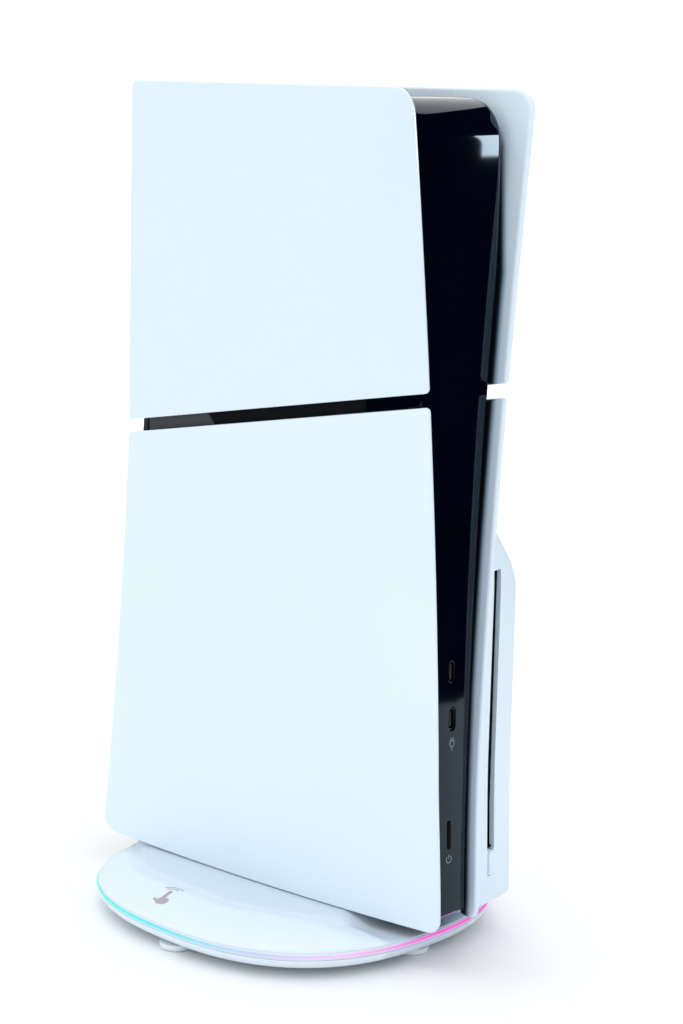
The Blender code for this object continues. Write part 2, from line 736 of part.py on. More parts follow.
def drive_case():
    low, high = DRIVE_LOW, DRIVE_HIGH
    for name, x_low, x_high, opens in (
        ("drive_tray", low.x, DRIVE_SPLIT_X, 1),
        ("drive_lid", DRIVE_SPLIT_X + GAP, high.x, -1),
    ):
        shell = adopt(raw_box((x_low, low.y, low.z), (x_high, high.y, high.z)), name, "steel")
        inner_low = Vector((x_low, low.y, low.z)) + Vector((DRIVE_WALL,) * 3)
        inner_high = Vector((x_high, high.y, high.z)) - Vector((DRIVE_WALL,) * 3)
        if opens > 0:
            inner_high.x = x_high + MM
        else:
            inner_low.x = x_low - MM
        hollow = raw_box(inner_low, inner_high)
        hollow.name = f"{name}_hollow"
        boolean(shell, as_cutter(hollow))
    slot = raw_box(
        (DISC_SLOT_X - DISC_SLOT_WIDTH / 2 - GAP, low.y - 2 * MM, EJECT_TOP + MM),
        (DISC_SLOT_X + DISC_SLOT_WIDTH / 2 + GAP, low.y + 3 * MM, DISC_SLOT_TOP),
    )
    slot.name = "drive_slot_cutter"
    boolean(bpy.data.objects["drive_tray"], as_cutter(slot))


def drive_works():
    floor = DRIVE_LOW.x + DRIVE_WALL
    motor_low, motor_high = floor + GAP, floor + 3.2 * MM
    cylinder("spindle_motor", ((motor_low + motor_high) / 2, SPINDLE_Y, SPINDLE_Z), (1, 0, 0), 11 * MM,
             motor_high - motor_low, "steel", 28)
    hub = lathe(
        "spindle_hub",
        [(r * MM, z * MM) for r, z in ((0, 3.4), (5.5, 3.4), (7.2, 1.6), (13, 1.4), (13, 0), (0, 0))],
        (motor_high + GAP, SPINDLE_Y, SPINDLE_Z), "black_matte", 28,
    )
    hub.rotation_euler = (0, math.radians(90), 0)
    rail_x = floor + 2.4 * MM
    for number, z in ((1, SPINDLE_Z - 17 * MM), (2, SPINDLE_Z + 17 * MM)):
        tube(f"pickup_rail_{number}", [(rail_x, 1 * MM, z), (rail_x, 44 * MM, z)], 1.1 * MM, "steel")
    sled = box("pickup_sled", (floor + 0.5 * MM, 4 * MM, SPINDLE_Z - 20 * MM),
               (floor + 4.3 * MM, 20 * MM, SPINDLE_Z + 20 * MM), "black_matte")
    for number, z in ((1, SPINDLE_Z - 17 * MM), (2, SPINDLE_Z + 17 * MM)):
        bore = raw_cylinder((rail_x, 12 * MM, z), (0, 1, 0), 1.5 * MM, 30 * MM, 16)
        bore.name = f"rail_bore_{number}"
        boolean(sled, as_cutter(bore))
    cylinder("pickup_lens", (floor + 4.3 * MM + 0.8 * MM, 10 * MM, SPINDLE_Z), (1, 0, 0), 3.2 * MM, 1.0 * MM,
             "light_guide", 20)
    cylinder("feed_roller", (floor + 3.2 * MM, -73 * MM, SPINDLE_Z), (0, 0, 1), 2.6 * MM, 126 * MM,
             "black_matte", 18)


# ---------------------------------------------------------------- screws

def rear_screws():
    for number, (x, z) in enumerate(((-17, 34), (17, 34), (-15, 359), (15, 359)), 1):
        y = max(core_back_y(z * MM), core_back_y((z - 3) * MM))
        head = cylinder(f"rear_screw_{number}", (x * MM, y + 1.1 * MM, z * MM), (0, 1, 0), 2.6 * MM, 1.4 * MM,
                        "steel", 16)
        head.modifiers.new("rounded_head", "BEVEL").width = 0.3 * MM


# ---------------------------------------------------------------- stand

def stretch(angle):
    """How much the oval reaches further than the round profile in a direction."""
    across = abs(math.cos(angle)) / STAND_HALF_X
    along = abs(math.sin(angle)) / STAND_HALF_Y
    return (across**STAND_POWER + along**STAND_POWER) ** (-1 / STAND_POWER) / PROFILE_RADIUS


def oval_place(radius, angle):
    """The (x, y) of a profile radius, in millimetres, in a direction."""
    reach = radius * stretch(angle) * MM
    return reach * math.cos(angle), reach * math.sin(angle)


def profile_radius(x, y):
    """The profile radius, in millimetres, that a place on the oval belongs to."""
    return math.hypot(x, y) / stretch(math.atan2(y, x)) / MM


def oval_shell(name, profile, material, sides=56):
    """Sweeps (radius, height) points round the oval: a closed profile, or one from axis to axis."""
    on_axis = profile[0][0] == 0
    starts, points, faces = [], [], []
    for radius, z in profile:
        starts.append(len(points))
        for k in range(1 if radius == 0 else sides):
            points.append((*oval_place(radius, 2 * math.pi * k / sides), z * MM))
    pairs = [(i, i + 1) for i in range(len(profile) - 1)]
    if not on_axis:
        pairs.append((len(profile) - 1, 0))
    for a, b in pairs:
        for k in range(sides):
            after = (k + 1) % sides
            low = [starts[a]] if profile[a][0] == 0 else [starts[a] + k, starts[a] + after]
            high = [starts[b]] if profile[b][0] == 0 else [starts[b] + after, starts[b] + k]
            faces.append(tuple(low + high))
    return adopt(solid_mesh(name, points, faces), name, material)


def crease_x(y):
    """How far from the middle plane the dock's sloping side meets the crescent."""
    back = smoothstep((80 * MM - y) / (34 * MM))
    front = smoothstep((y + 62 * MM) / (62 * MM))
    return (27 + 18 * min(back, front)) * MM


def stand_height(x, y):
    """Height of the stand's top surface: two domed crescents beside a sloping dock."""
    arch = min(max((COVER_RADIUS - profile_radius(x, y)) / CRESCENT_RUN, 0.0), 1.0)
    beyond = abs(x) - crease_x(y)
    dip = 1 - 0.5 * (1 - smoothstep(beyond / (12 * MM)))
    pocket = smoothstep((beyond + 6 * MM) / (6 * MM))
    crescent = CRESCENT_RISE * math.sqrt(1 - (1 - arch) ** 2) * dip * pocket
    ends = smoothstep((y + 68 * MM) / (16 * MM)) * smoothstep((86 * MM - y) / (8 * MM))
    slope = min(max(-beyond / (crease_x(y) - DOCK_HALF), 0.0), 1.0)
    foot = 0.3 * (1 - smoothstep(beyond / (6 * MM)))
    dock = (DOCK_TOP - COVER_RIM_Z) * ends * (foot + 0.7 * slope**0.8)
    return COVER_RIM_Z + max(crescent, dock)


def stand_top_cover():
    radii = (0, 12, 20, 27, 34, 41, 48, 56, 64, 72, 79, 83.5, COVER_RADIUS)
    solid_beyond, hollow_depth = 80, 1.2 * MM
    sides = 48
    top, under = [], []
    for radius in radii:
        for k in range(1 if radius == 0 else sides):
            x, y = oval_place(radius, 2 * math.pi * k / sides)
            top.append((x, y, stand_height(x, y)))
            under.append((x, y, COVER_UNDER_Z if radius > solid_beyond else COVER_UNDER_Z - hollow_depth))
    points = top + under
    offset = len(top)
    faces = []
    for k in range(sides):
        after = (k + 1) % sides
        faces.append((0, 1 + k, 1 + after))
        faces.append((offset, offset + 1 + after, offset + 1 + k))
        for ring in range(len(radii) - 2):
            a, b = 1 + ring * sides + k, 1 + ring * sides + after
            faces.append((a, a + sides, b + sides, b))
            faces.append((offset + a, offset + b, offset + b + sides, offset + a + sides))
        edge = 1 + (len(radii) - 2) * sides
        faces.append((edge + k, offset + edge + k, offset + edge + after, edge + after))
    return adopt(solid_mesh("stand_top_cover", points, faces), "stand_top_cover", "white_matte", 50)


def stand_shells():
    oval_shell("stand_bottom_cover", (
        (0, 5.2), (83.0, 5.2), (84.4, 9.3), (86.6, 9.3), (86.2, 7.4), (84.4, 5.4), (81.0, 3.9), (76.0, 3.4),
        (0, 3.4),
    ), "white_matte")
    oval_shell("light_ring", (
        (82.6, 12.0), (86.4, 12.0), (87.3, 11.3), (87.3, 10.3), (86.6, 9.6), (82.6, 9.6),
    ), "light_guide", 64)


def stand_insides():
    middle_y = FOOT_MIDDLE_Y
    cylinder("stand_board", (0, middle_y - 20 * MM, 6.5 * MM), (0, 0, 1), 24 * MM, 1.6 * MM,
             "circuit_board", 32)
    oval_shell("led_board", ((77.0, 7.6), (81.5, 7.6), (81.5, 6.4), (77.0, 6.4)), "circuit_board", 48)
    cylinder("touch_sensor", (-60 * MM, 14 * MM, 9.9 * MM), (0, 0, 1), 9 * MM, 0.8 * MM, "copper", 24)
    box("stand_usb_inlet", (-4.5 * MM, 66.5 * MM, 5.8 * MM), (4.5 * MM, 74 * MM, 9.0 * MM), "steel",
        0.6 * MM)


def stand_feet():
    pad = ((0, 3.1), (7.6, 3.1), (7.4, 1.2), (6.6, 0.2), (6.2, 0.0), (0, 0))
    profile = [(r * MM, z * MM) for r, z in pad]
    for number in range(4):
        angle = math.pi / 2 * number
        centre = (FOOT_CIRCLE * math.cos(angle), FOOT_MIDDLE_Y + FOOT_CIRCLE * math.sin(angle), 0)
        lathe(f"foot_pad_{number + 1}", profile, centre, "rubber_pad", 24)
    for number in range(4):
        angle = math.pi / 4 + math.pi / 2 * number
        x, y = SCREW_CIRCLE * math.cos(angle), FOOT_MIDDLE_Y + SCREW_CIRCLE * math.sin(angle)
        cylinder(f"stand_screw_{number + 1}", (x, y, 2.4 * MM), (0, 0, 1), 3.0 * MM, 1.4 * MM, "steel", 16)


# ---------------------------------------------------------------- build

clear_scene()
PARTS = new_collection("games_console")
CUTTERS = new_collection("cutters")

upper_panel("left_upper_panel", -1)
upper_panel("right_upper_panel", 1)
left_lower_panel()
disc_drive_cover()
eject_button()
core_shells()
rear_panels()
rear_sockets()
front_sockets()
power_button()
fan()
heatsink()
electronics()
drive_case()
drive_works()
rear_screws()
stand_top_cover()
stand_shells()
stand_insides()
stand_feet()
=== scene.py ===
"""Looks for a slim upright games console docked on a rounded light-up stand.

Metres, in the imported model's frame: the origin is on the table under the middle of the stand,
the console's front faces -Y and its disc drive is on +X. Lengths below are in millimetres times MM.
"""

import math

import bmesh
import bpy
from mathutils import Matrix, Vector


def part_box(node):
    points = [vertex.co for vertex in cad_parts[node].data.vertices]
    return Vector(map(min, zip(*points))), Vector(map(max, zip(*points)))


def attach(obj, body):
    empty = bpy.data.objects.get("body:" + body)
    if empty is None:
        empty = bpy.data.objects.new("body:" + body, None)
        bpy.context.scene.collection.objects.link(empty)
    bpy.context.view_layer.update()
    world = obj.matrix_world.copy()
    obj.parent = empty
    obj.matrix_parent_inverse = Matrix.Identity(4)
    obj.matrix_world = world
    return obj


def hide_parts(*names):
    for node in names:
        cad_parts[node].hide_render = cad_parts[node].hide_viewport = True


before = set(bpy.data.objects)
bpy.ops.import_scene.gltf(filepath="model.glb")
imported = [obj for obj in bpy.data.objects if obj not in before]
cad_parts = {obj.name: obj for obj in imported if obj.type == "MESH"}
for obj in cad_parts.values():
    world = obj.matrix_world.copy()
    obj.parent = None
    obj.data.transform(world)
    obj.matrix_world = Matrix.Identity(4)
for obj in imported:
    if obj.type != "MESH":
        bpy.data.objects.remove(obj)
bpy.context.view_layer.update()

MM = 0.001

# Camera: where it stands, where it looks and its lens.
CAMERA_PLACE = Vector((-698.5, -713.3, 380.9)) * MM
CAMERA_YAW, CAMERA_PITCH, CAMERA_ROLL = 45.5, 11.0, 1.1
CAMERA_LENS = 79.36

# The surround's light: its level, how much it varies, and the side it is brightest on.
SKY_LEVEL, SKY_SPREAD, SKY_BRIGHT_SIDE = 0.87, 0.40, (-0.42, 0.35, 0.84)
# A brighter band round the horizon, which fades out between two heights.
HORIZON_LEVEL, HORIZON_EDGE = 1.08, (0.10, 0.17)

# Each lamp's name, place, target, size, watts and turn, and whether it lights matt and glossy surfaces.
LAMPS = (
    ("overhead", (0, 0, 2.2), (0, 0, 0), (2.4, 2.4), 12.0, 0.0, True, False),
    ("backdrop_glow", (1.6, 1.6, 0.75), (0, 0, 0.35), (2.4, 0.9), 5.0, 0.0, True, True),
    ("top_glow", (0.292, 0.281, 0.607), (0.292, 0.281, 0.0), (0.78, 0.40), 1.6, 54.5, False, True),
    ("softbox_right", (0.466, -0.325, 0.402), (0.02, -0.09, 0.353), (0.20, 0.122), 1.1, 0.0, False, True),
)

# The table: the reach of its near and far parts, and its tone from the object outwards, darker near the
# object as painted shade.
TABLE_NEAR, TABLE_FAR, TABLE_STEPS = 0.55, 60.0, 96
TABLE_TONE_RUN, TABLE_TONES = (0.12, 0.55), ((0.86, 0.88, 0.90), (0.96, 0.97, 0.98))

# The console's outer surface, as in the design.
CONSOLE_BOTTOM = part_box("left_lower_panel")[0].z
CONSOLE_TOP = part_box("left_upper_panel")[1].z
CONSOLE_HEIGHT = CONSOLE_TOP - CONSOLE_BOTTOM
FRONT_Y_BOTTOM, FRONT_Y_TOP = -103.0 * MM, -99.0 * MM
FRONT_LEAN, FRONT_LEAN_RUN = 1.7 * MM, 70.0 * MM
BACK_Y_TOP, BACK_Y_BOTTOM, BACK_SWEEP_Z = 86.7 * MM, 103.0 * MM, 230.0 * MM
FRONT_HALF_BOTTOM, FRONT_HALF_TOP, FRONT_FLARE_POWER = 13.2 * MM, 38.8 * MM, 1.75
BACK_HALF_BOTTOM, BACK_HALF_TOP, PLAN_POWER = 29.3 * MM, 25.2 * MM, 2.2
PANEL_WALL, PANEL_CLEARANCE = 2.4 * MM, 0.9 * MM
SLIT_Z_FRONT, SLIT_Z_BACK, SLIT_WIDTH = 250.6 * MM, 217.8 * MM, 5.8 * MM

# The bulge over the disc drive.
BULGE_X, BULGE_FRONT_Y, BULGE_FRONT_RUN = 52.0 * MM, -95.5 * MM, 9.0 * MM
BULGE_BACK_Y, BULGE_BACK_RUN = 45.0 * MM, 45.0 * MM
BULGE_TOP_Z, BULGE_TOP_RUN = 158.0 * MM, 57.0 * MM
DISC_SLOT_X, DISC_SLOT_WIDTH, DISC_SLOT_TOP = 34.5 * MM, 4.4 * MM, 170.0 * MM
DISC_SLOT_INNER_EXTRA = 0.6 * MM
EJECT_LOW, EJECT_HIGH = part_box("eject_button")

# The black core.
CORE_BOTTOM, CORE_TOP = 19.0 * MM, 372.3 * MM
CORE_FRONT_TOP, CORE_FRONT_SWEEP, CORE_FRONT_HALF = -92.0 * MM, 6.5 * MM, 26.6 * MM
CORE_CORNER, CORE_EDGE, CORE_WALL = 19.0 * MM, 4.0 * MM, 2.2 * MM
CORE_BACK_TOP, CORE_BACK_BOTTOM = 79.0 * MM, 93.0 * MM
CORE_BACK_SWEEP_START, CORE_FLARE_RUN = 30.0 * MM, 16.0 * MM
CORE_CHAMFER, CORE_CHAMFER_SLOPE = 5.0 * MM, 1.25
BEZEL_END_Y, HOUSING_END_Y = -62.0 * MM, 75.6 * MM
JOINT_GAP = 0.3 * MM

USB_C_HEIGHTS = (131.2 * MM, 110.6 * MM)
POWER_LOW, POWER_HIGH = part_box("power_button")
FRONT_CUT = (-120.0 * MM, -80.0 * MM)

# Marks on the front strip.
POWER_ICON_X, POWER_ICON_Z, PORT_ICON_Z = POWER_LOW.x + 1.0 * MM, 48.5 * MM, 99.6 * MM
FRONT_MARK_WIDTH, FRONT_MARK_DEPTH = 0.35 * MM, 0.1 * MM

# The stand: a rounded oval. Its profile is given as if it were a circle, and stretched to the oval.
PROFILE_RADIUS = 87.3 * MM
STAND_HALF_X, STAND_HALF_Y, STAND_POWER = 83.6 * MM, 88.9 * MM, 2.42
COVER_RADIUS, COVER_RIM_Z, COVER_UNDER_Z = 86.0 * MM, 12.9 * MM, 12.3 * MM
CRESCENT_RISE, CRESCENT_RUN = 3.6 * MM, 28.0 * MM
DOCK_TOP, DOCK_HALF = 17.7 * MM, 26.0 * MM
CREASE_X, CREASE_SWELL = 27.0 * MM, 18.0 * MM
CREASE_BACK_Y, CREASE_BACK_RUN = 80.0 * MM, 34.0 * MM
CREASE_FRONT_Y, CREASE_FRONT_RUN = -62.0 * MM, 62.0 * MM
FOOT_SHIFT = 1.05


# ---------------------------------------------------------------- plain maths

def clamp(value, low=0.0, high=1.0):
    return min(max(value, low), high)


def smoothstep(value):
    value = clamp(value)
    return value * value * (3 - 2 * value)


def spread(start, end, count):
    """count values from start to end, both included."""
    return [start + (end - start) * k / (count - 1) for k in range(count)]


def height_share(z):
    return clamp((z - CONSOLE_BOTTOM) / CONSOLE_HEIGHT)


def lean(z):
    """How far the front has leaned back just above the foot of the console."""
    return FRONT_LEAN * smoothstep((z - CONSOLE_BOTTOM) / FRONT_LEAN_RUN)


def front_edge_y(z):
    straight = FRONT_Y_BOTTOM + (FRONT_Y_TOP - FRONT_LEAN - FRONT_Y_BOTTOM) * height_share(z)
    return straight + lean(z)


def back_edge_y(z):
    below = max(BACK_SWEEP_Z - z, 0.0) / (BACK_SWEEP_Z - CONSOLE_BOTTOM)
    return BACK_Y_TOP + (BACK_Y_BOTTOM - BACK_Y_TOP) * below**1.5


def half_width(y, z):
    """How far the outer face of a side panel is from the middle plane."""
    share = height_share(z)
    front = FRONT_HALF_BOTTOM + (FRONT_HALF_TOP - FRONT_HALF_BOTTOM) * share**FRONT_FLARE_POWER
    back = BACK_HALF_BOTTOM + (BACK_HALF_TOP - BACK_HALF_BOTTOM) * share
    run = back_edge_y(z) - front_edge_y(z)
    return back + (front - back) * clamp((back_edge_y(z) - y) / run)**PLAN_POWER


def slit_z(y):
    forward = (BACK_Y_TOP - y) / (BACK_Y_TOP - FRONT_Y_TOP)
    return SLIT_Z_BACK + (SLIT_Z_FRONT - SLIT_Z_BACK) * forward


def bulge(y, z, inset):
    """Share of the drive bulge at a place on the lower right panel; inset is for its inner face."""
    front = smoothstep((y - BULGE_FRONT_Y - lean(z) - inset) / BULGE_FRONT_RUN)
    back = 1 - smoothstep((y - BULGE_BACK_Y + inset) / BULGE_BACK_RUN)
    top = 1 - smoothstep((z - BULGE_TOP_Z + inset) / BULGE_TOP_RUN)
    return front * back * top


def core_front_y(z):
    return CORE_FRONT_TOP - CORE_FRONT_SWEEP * (1 - height_share(z))**2


def core_back_y(z):
    share = clamp((z - CORE_BACK_SWEEP_START) / (BACK_SWEEP_Z - CORE_BACK_SWEEP_START))
    return CORE_BACK_BOTTOM + (CORE_BACK_TOP - CORE_BACK_BOTTOM) * share


def stretch(angle):
    """The oval's reach in a direction, against a circle of the profile's radius."""
    across, along = abs(math.cos(angle)) / STAND_HALF_X, abs(math.sin(angle)) / STAND_HALF_Y
    return (across**STAND_POWER + along**STAND_POWER)**(-1 / STAND_POWER) / PROFILE_RADIUS


def profile_radius(x, y):
    return math.hypot(x, y) / stretch(math.atan2(y, x))


def core_half(y, z):
    side = half_width(y, z) - PANEL_WALL - PANEL_CLEARANCE
    narrow = min(CORE_FRONT_HALF, side)
    return narrow + (side - narrow) * smoothstep((y - BEZEL_END_Y) / CORE_FLARE_RUN)


# ---------------------------------------------------------------- materials

CLOUD_SCALE, GLOSS_SCALE = 14.0, 60.0


def link(tree, source, target):
    tree.links.new(source, target)


def shader_node(tree, kind, **settings):
    """A new node, with its settings and the values of its inputs given by name."""
    made = tree.nodes.new(kind)
    for key, value in settings.items():
        if key in made.bl_rna.properties:
            setattr(made, key, value)
        else:
            made.inputs[key.replace("_", " ").title()].default_value = value
    return made


def math_node(tree, operation, *values):
    """A Math node's result, from numbers and sockets."""
    made = shader_node(tree, "ShaderNodeMath", operation=operation)
    for socket, value in zip(made.inputs, values):
        if isinstance(value, (int, float)):
            socket.default_value = value
        else:
            link(tree, value, socket)
    return made.outputs["Value"]


def map_range(tree, value, from_low, from_high, to_low=0.0, to_high=1.0, kind="LINEAR"):
    """Carries a socket's value from one range to another, and holds it at the ends."""
    made = shader_node(tree, "ShaderNodeMapRange", interpolation_type=kind, From_Min=from_low,
                       From_Max=from_high, To_Min=to_low, To_Max=to_high)
    link(tree, value, made.inputs["Value"])
    return made.outputs["Result"]


def axes_of(tree, vector):
    """The X, Y and Z of a vector socket."""
    made = shader_node(tree, "ShaderNodeSeparateXYZ")
    link(tree, vector, made.inputs["Vector"])
    return made.outputs["X"], made.outputs["Y"], made.outputs["Z"]


def noise(tree, place, scale, detail=3.0):
    made = shader_node(tree, "ShaderNodeTexNoise", Scale=scale, Detail=detail, Roughness=0.5)
    link(tree, place, made.inputs["Vector"])
    return made.outputs["Fac"]


def ramp(tree, factor, stops):
    """A colour ramp from (place, colour) pairs."""
    made = tree.nodes.new("ShaderNodeValToRGB")
    elements = made.color_ramp.elements
    elements[0].position, elements[1].position = stops[0][0], stops[-1][0]
    for position, _ in stops[1:-1]:
        elements.new(position)
    for element, (_, tone) in zip(elements, stops):
        element.color = (*tone, 1.0)
    link(tree, factor, made.inputs["Fac"])
    return made.outputs["Color"]


def start_material(name, metallic=0.0, coat=0.0, coat_roughness=0.03, specular_tint=(1.0, 1.0, 1.0)):
    """A new material, its node tree and shader, and the place on the object."""
    material = bpy.data.materials.new(name)
    material.use_nodes = True
    tree = material.node_tree
    shader = tree.nodes["Principled BSDF"]
    shader.inputs["Metallic"].default_value = metallic
    shader.inputs["Coat Weight"].default_value = coat
    shader.inputs["Coat Roughness"].default_value = coat_roughness
    shader.inputs["Specular Tint"].default_value = (*specular_tint, 1.0)
    place = tree.nodes.new("ShaderNodeTexCoord").outputs["Object"]
    return material, tree, shader, place


def set_colour(tree, shader, factor, stops):
    link(tree, ramp(tree, factor, stops), shader.inputs["Base Color"])


def set_roughness(tree, shader, factor, low, high):
    link(tree, map_range(tree, factor, 0.0, 1.0, low, high), shader.inputs["Roughness"])


def set_grain(tree, shader, height, depth):
    relief = shader_node(tree, "ShaderNodeBump", Strength=1.0, Distance=depth)
    link(tree, height, relief.inputs["Height"])
    link(tree, relief.outputs["Normal"], shader.inputs["Normal"])


def moulded(name, dark, light, roughness, grain_scale, grain_depth, **shading):
    """Moulded plastic: faint large clouds of tint, a fine grain, and uneven gloss."""
    material, tree, shader, place = start_material(name, **shading)
    set_colour(tree, shader, noise(tree, place, CLOUD_SCALE, 2.0), ((0.3, dark), (0.7, light)))
    set_roughness(tree, shader, noise(tree, place, GLOSS_SCALE), roughness * 0.85, roughness * 1.15)
    set_grain(tree, shader, noise(tree, place, grain_scale, 2.0), grain_depth * MM)
    return material


def metal(name, dark, light, roughness):
    """Sheet metal with fine drawn lines along Z."""
    material, tree, shader, place = start_material(name, metallic=1.0)
    drawn = shader_node(tree, "ShaderNodeMapping", Scale=(1.0, 1.0, 0.04))
    link(tree, place, drawn.inputs["Vector"])
    lines = noise(tree, drawn.outputs["Vector"], 900.0, 2.0)
    set_colour(tree, shader, lines, ((0.25, dark), (0.75, light)))
    set_roughness(tree, shader, lines, roughness * 0.8, roughness * 1.25)
    set_grain(tree, shader, lines, 0.01 * MM)
    return material


def circuit(name):
    """Solder mask over copper tracks: brighter lines where the tracks run under it."""
    material, tree, shader, place = start_material(name, coat=0.3, coat_roughness=0.2)
    turned_place = shader_node(tree, "ShaderNodeMapping", Rotation=(0, math.radians(90), 0))
    link(tree, place, turned_place.inputs["Vector"])
    tracks = shader_node(
        tree, "ShaderNodeTexBrick", Scale=120.0, Mortar_Size=0.06, Mortar=(0.05, 0.2, 0.09, 1),
        Color1=(0.01, 0.07, 0.035, 1), Color2=(0.012, 0.09, 0.045, 1),
    )
    link(tree, turned_place.outputs["Vector"], tracks.inputs["Vector"])
    link(tree, tracks.outputs["Color"], shader.inputs["Base Color"])
    set_roughness(tree, shader, noise(tree, place, 300.0), 0.35, 0.55)
    set_grain(tree, shader, tracks.outputs["Fac"], 0.03 * MM)
    return material


def housing_plastic(name):
    """The core's side: gloss towards the front, and a fine moulded texture behind a slanting line."""
    material, tree, shader, place = start_material(name)
    _, y, z = axes_of(tree, place)
    rear = map_range(tree, math_node(tree, "MULTIPLY_ADD", z, -0.9, y), -0.172, -0.170)
    set_colour(tree, shader, rear, ((0.0, (0.008, 0.009, 0.011)), (1.0, (0.06, 0.064, 0.07))))
    set_roughness(tree, shader, rear, 0.12, 0.55)
    dots = shader_node(tree, "ShaderNodeTexVoronoi", Scale=700.0)
    link(tree, place, dots.inputs["Vector"])
    set_grain(tree, shader, math_node(tree, "MULTIPLY", dots.outputs["Distance"], rear), 0.15 * MM)
    return material


def panel_inner(name):
    """The inside of a panel near its front edge, with a soft strip of painted shade where the gap to the core
    falls in shadow.
    """
    material, tree, shader, place = start_material(name)
    _, y, z = axes_of(tree, place)
    below = map_range(tree, z, CONSOLE_BOTTOM, CONSOLE_TOP, 1.0, 0.0)
    edge = math_node(tree, "MULTIPLY_ADD", math_node(tree, "MULTIPLY", below, below),
                     -CORE_FRONT_SWEEP, CORE_FRONT_TOP + 0.9 * MM)
    for start, end, shift in ((300, 372, 8.8), (240, 120, 1.8)):
        edge = math_node(tree, "ADD", edge, map_range(tree, z, start * MM, end * MM, 0.0, shift * MM))
    depth = math_node(tree, "SUBTRACT", y, edge)
    share = math_node(tree, "MULTIPLY_ADD", depth, 1 / (13.5 * MM), 0.4)
    share = math_node(tree, "MULTIPLY", share, map_range(tree, z, 352 * MM, 366 * MM, 1.0, 0.0))
    # Painted shade: the inner face turns near black along the gap by the core, and pales again past it.
    white, gap_shade = (0.71, 0.845, 0.955), (0.004, 0.007, 0.012)
    set_colour(tree, shader, share, (
        (0.0, white), (0.14, (0.62, 0.79, 0.94)), (0.25, (0.30, 0.42, 0.53)),
        (0.34, (0.05, 0.08, 0.11)), (0.40, gap_shade), (0.68, gap_shade), (0.90, white),
    ))
    set_roughness(tree, shader, noise(tree, place, GLOSS_SCALE), 0.38, 0.5)
    set_grain(tree, shader, noise(tree, place, 1500.0), 0.008 * MM)
    return material


def stand_plastic(name, dock, crescent):
    """White plastic, with painted shade: a touch greyer in the valley between the two crescents, where the
    console above shades it.
    """
    material, tree, shader, place = start_material(name)
    x, y, _ = axes_of(tree, place)
    back = map_range(tree, y, CREASE_BACK_Y, CREASE_BACK_Y - CREASE_BACK_RUN, kind="SMOOTHSTEP")
    front = map_range(tree, y, CREASE_FRONT_Y, CREASE_FRONT_Y + CREASE_FRONT_RUN, kind="SMOOTHSTEP")
    swell = math_node(tree, "MINIMUM", back, front)
    crease = math_node(tree, "MULTIPLY_ADD", swell, CREASE_SWELL, CREASE_X)
    beyond = math_node(tree, "SUBTRACT", math_node(tree, "ABSOLUTE", x), crease)
    # Painted shade: the dock's greyer tone inside the crease, the crescents' tone outside it.
    set_colour(tree, shader, map_range(tree, beyond, -2.0 * MM, 1.0 * MM), ((0.0, dock), (1.0, crescent)))
    set_roughness(tree, shader, noise(tree, place, GLOSS_SCALE), 0.3, 0.42)
    set_grain(tree, shader, noise(tree, place, 2200.0), 0.01 * MM)
    return material


# Colours round the light ring, from the back left through the left and the front to the right.
RING_COLOURS = (
    (0.00, (0.35, 1.00, 0.75)),
    (0.12, (0.28, 1.00, 0.80)),
    (0.18, (0.10, 0.95, 0.80)),
    (0.23, (0.10, 0.95, 0.95)),
    (0.27, (0.20, 0.88, 1.00)),
    (0.31, (0.45, 0.80, 1.00)),
    (0.35, (0.66, 0.72, 1.00)),
    (0.39, (0.86, 0.66, 1.00)),
    (0.42, (1.00, 0.62, 0.96)),
    (0.45, (1.00, 0.40, 0.88)),
    (0.48, (1.00, 0.18, 0.76)),
    (0.52, (1.00, 0.07, 0.66)),
    (0.70, (1.00, 0.12, 0.70)),
    (0.82, (0.90, 0.45, 0.95)),
    (0.92, (0.50, 0.78, 1.00)),
    (1.00, (0.35, 1.00, 0.75)),
)


def ring_light(name, strength, dark, light):
    """A light guide whose colour runs round the ring."""
    material, tree, shader, place = start_material(name, coat=0.3)
    x, y, _ = axes_of(tree, place)
    angle = math_node(tree, "ARCTAN2", math_node(tree, "MULTIPLY", x, -1.0), y)
    share = math_node(tree, "FRACT", math_node(tree, "MULTIPLY_ADD", angle, 1 / (2 * math.pi), 1.0))
    link(tree, ramp(tree, share, RING_COLOURS), shader.inputs["Emission Color"])
    shader.inputs["Emission Strength"].default_value = strength
    set_colour(tree, shader, noise(tree, place, 40.0), ((0.3, dark), (0.7, light)))
    shader.inputs["Roughness"].default_value = 0.3
    return material


PANEL_WHITE = ((0.69, 0.815, 0.925), (0.71, 0.835, 0.94))

# Moulded parts: darker and lighter tone, roughness, the grain's scale and its depth in millimetres.
MOULDED = {
    "panel_gloss": (*PANEL_WHITE, 0.24, 220.0, 0.004),
    "panel_matte": (*PANEL_WHITE, 0.42, 2600.0, 0.012),
    "core_gloss": ((0.0004, 0.0011, 0.0045), (0.0006, 0.0016, 0.006), 0.05, 150.0, 0.002),
    "core_matte": ((0.014, 0.015, 0.017), (0.024, 0.026, 0.029), 0.5, 1800.0, 0.05),
    "seal_black": ((0.0015, 0.0015, 0.002), (0.003, 0.003, 0.004), 0.9, 2500.0, 0.1),
    "icon_taupe": ((0.38, 0.33, 0.37), (0.45, 0.39, 0.43), 0.5, 1500.0, 0.01),
    "icon_light": ((0.20, 0.24, 0.27), (0.26, 0.30, 0.33), 0.5, 1500.0, 0.01),
    "pad": ((0.74, 0.81, 0.86), (0.80, 0.87, 0.91), 0.6, 1600.0, 0.03),
    "lens": ((0.25, 0.35, 0.6), (0.35, 0.48, 0.75), 0.05, 200.0, 0.002),
}
SHADING = {
    "panel_gloss": {"coat": 0.25},
    "core_gloss": {"specular_tint": (0.40, 0.64, 0.84)},
    "seal_black": {"specular_tint": (0.1, 0.13, 0.16)},
    "lens": {"coat": 1.0},
}

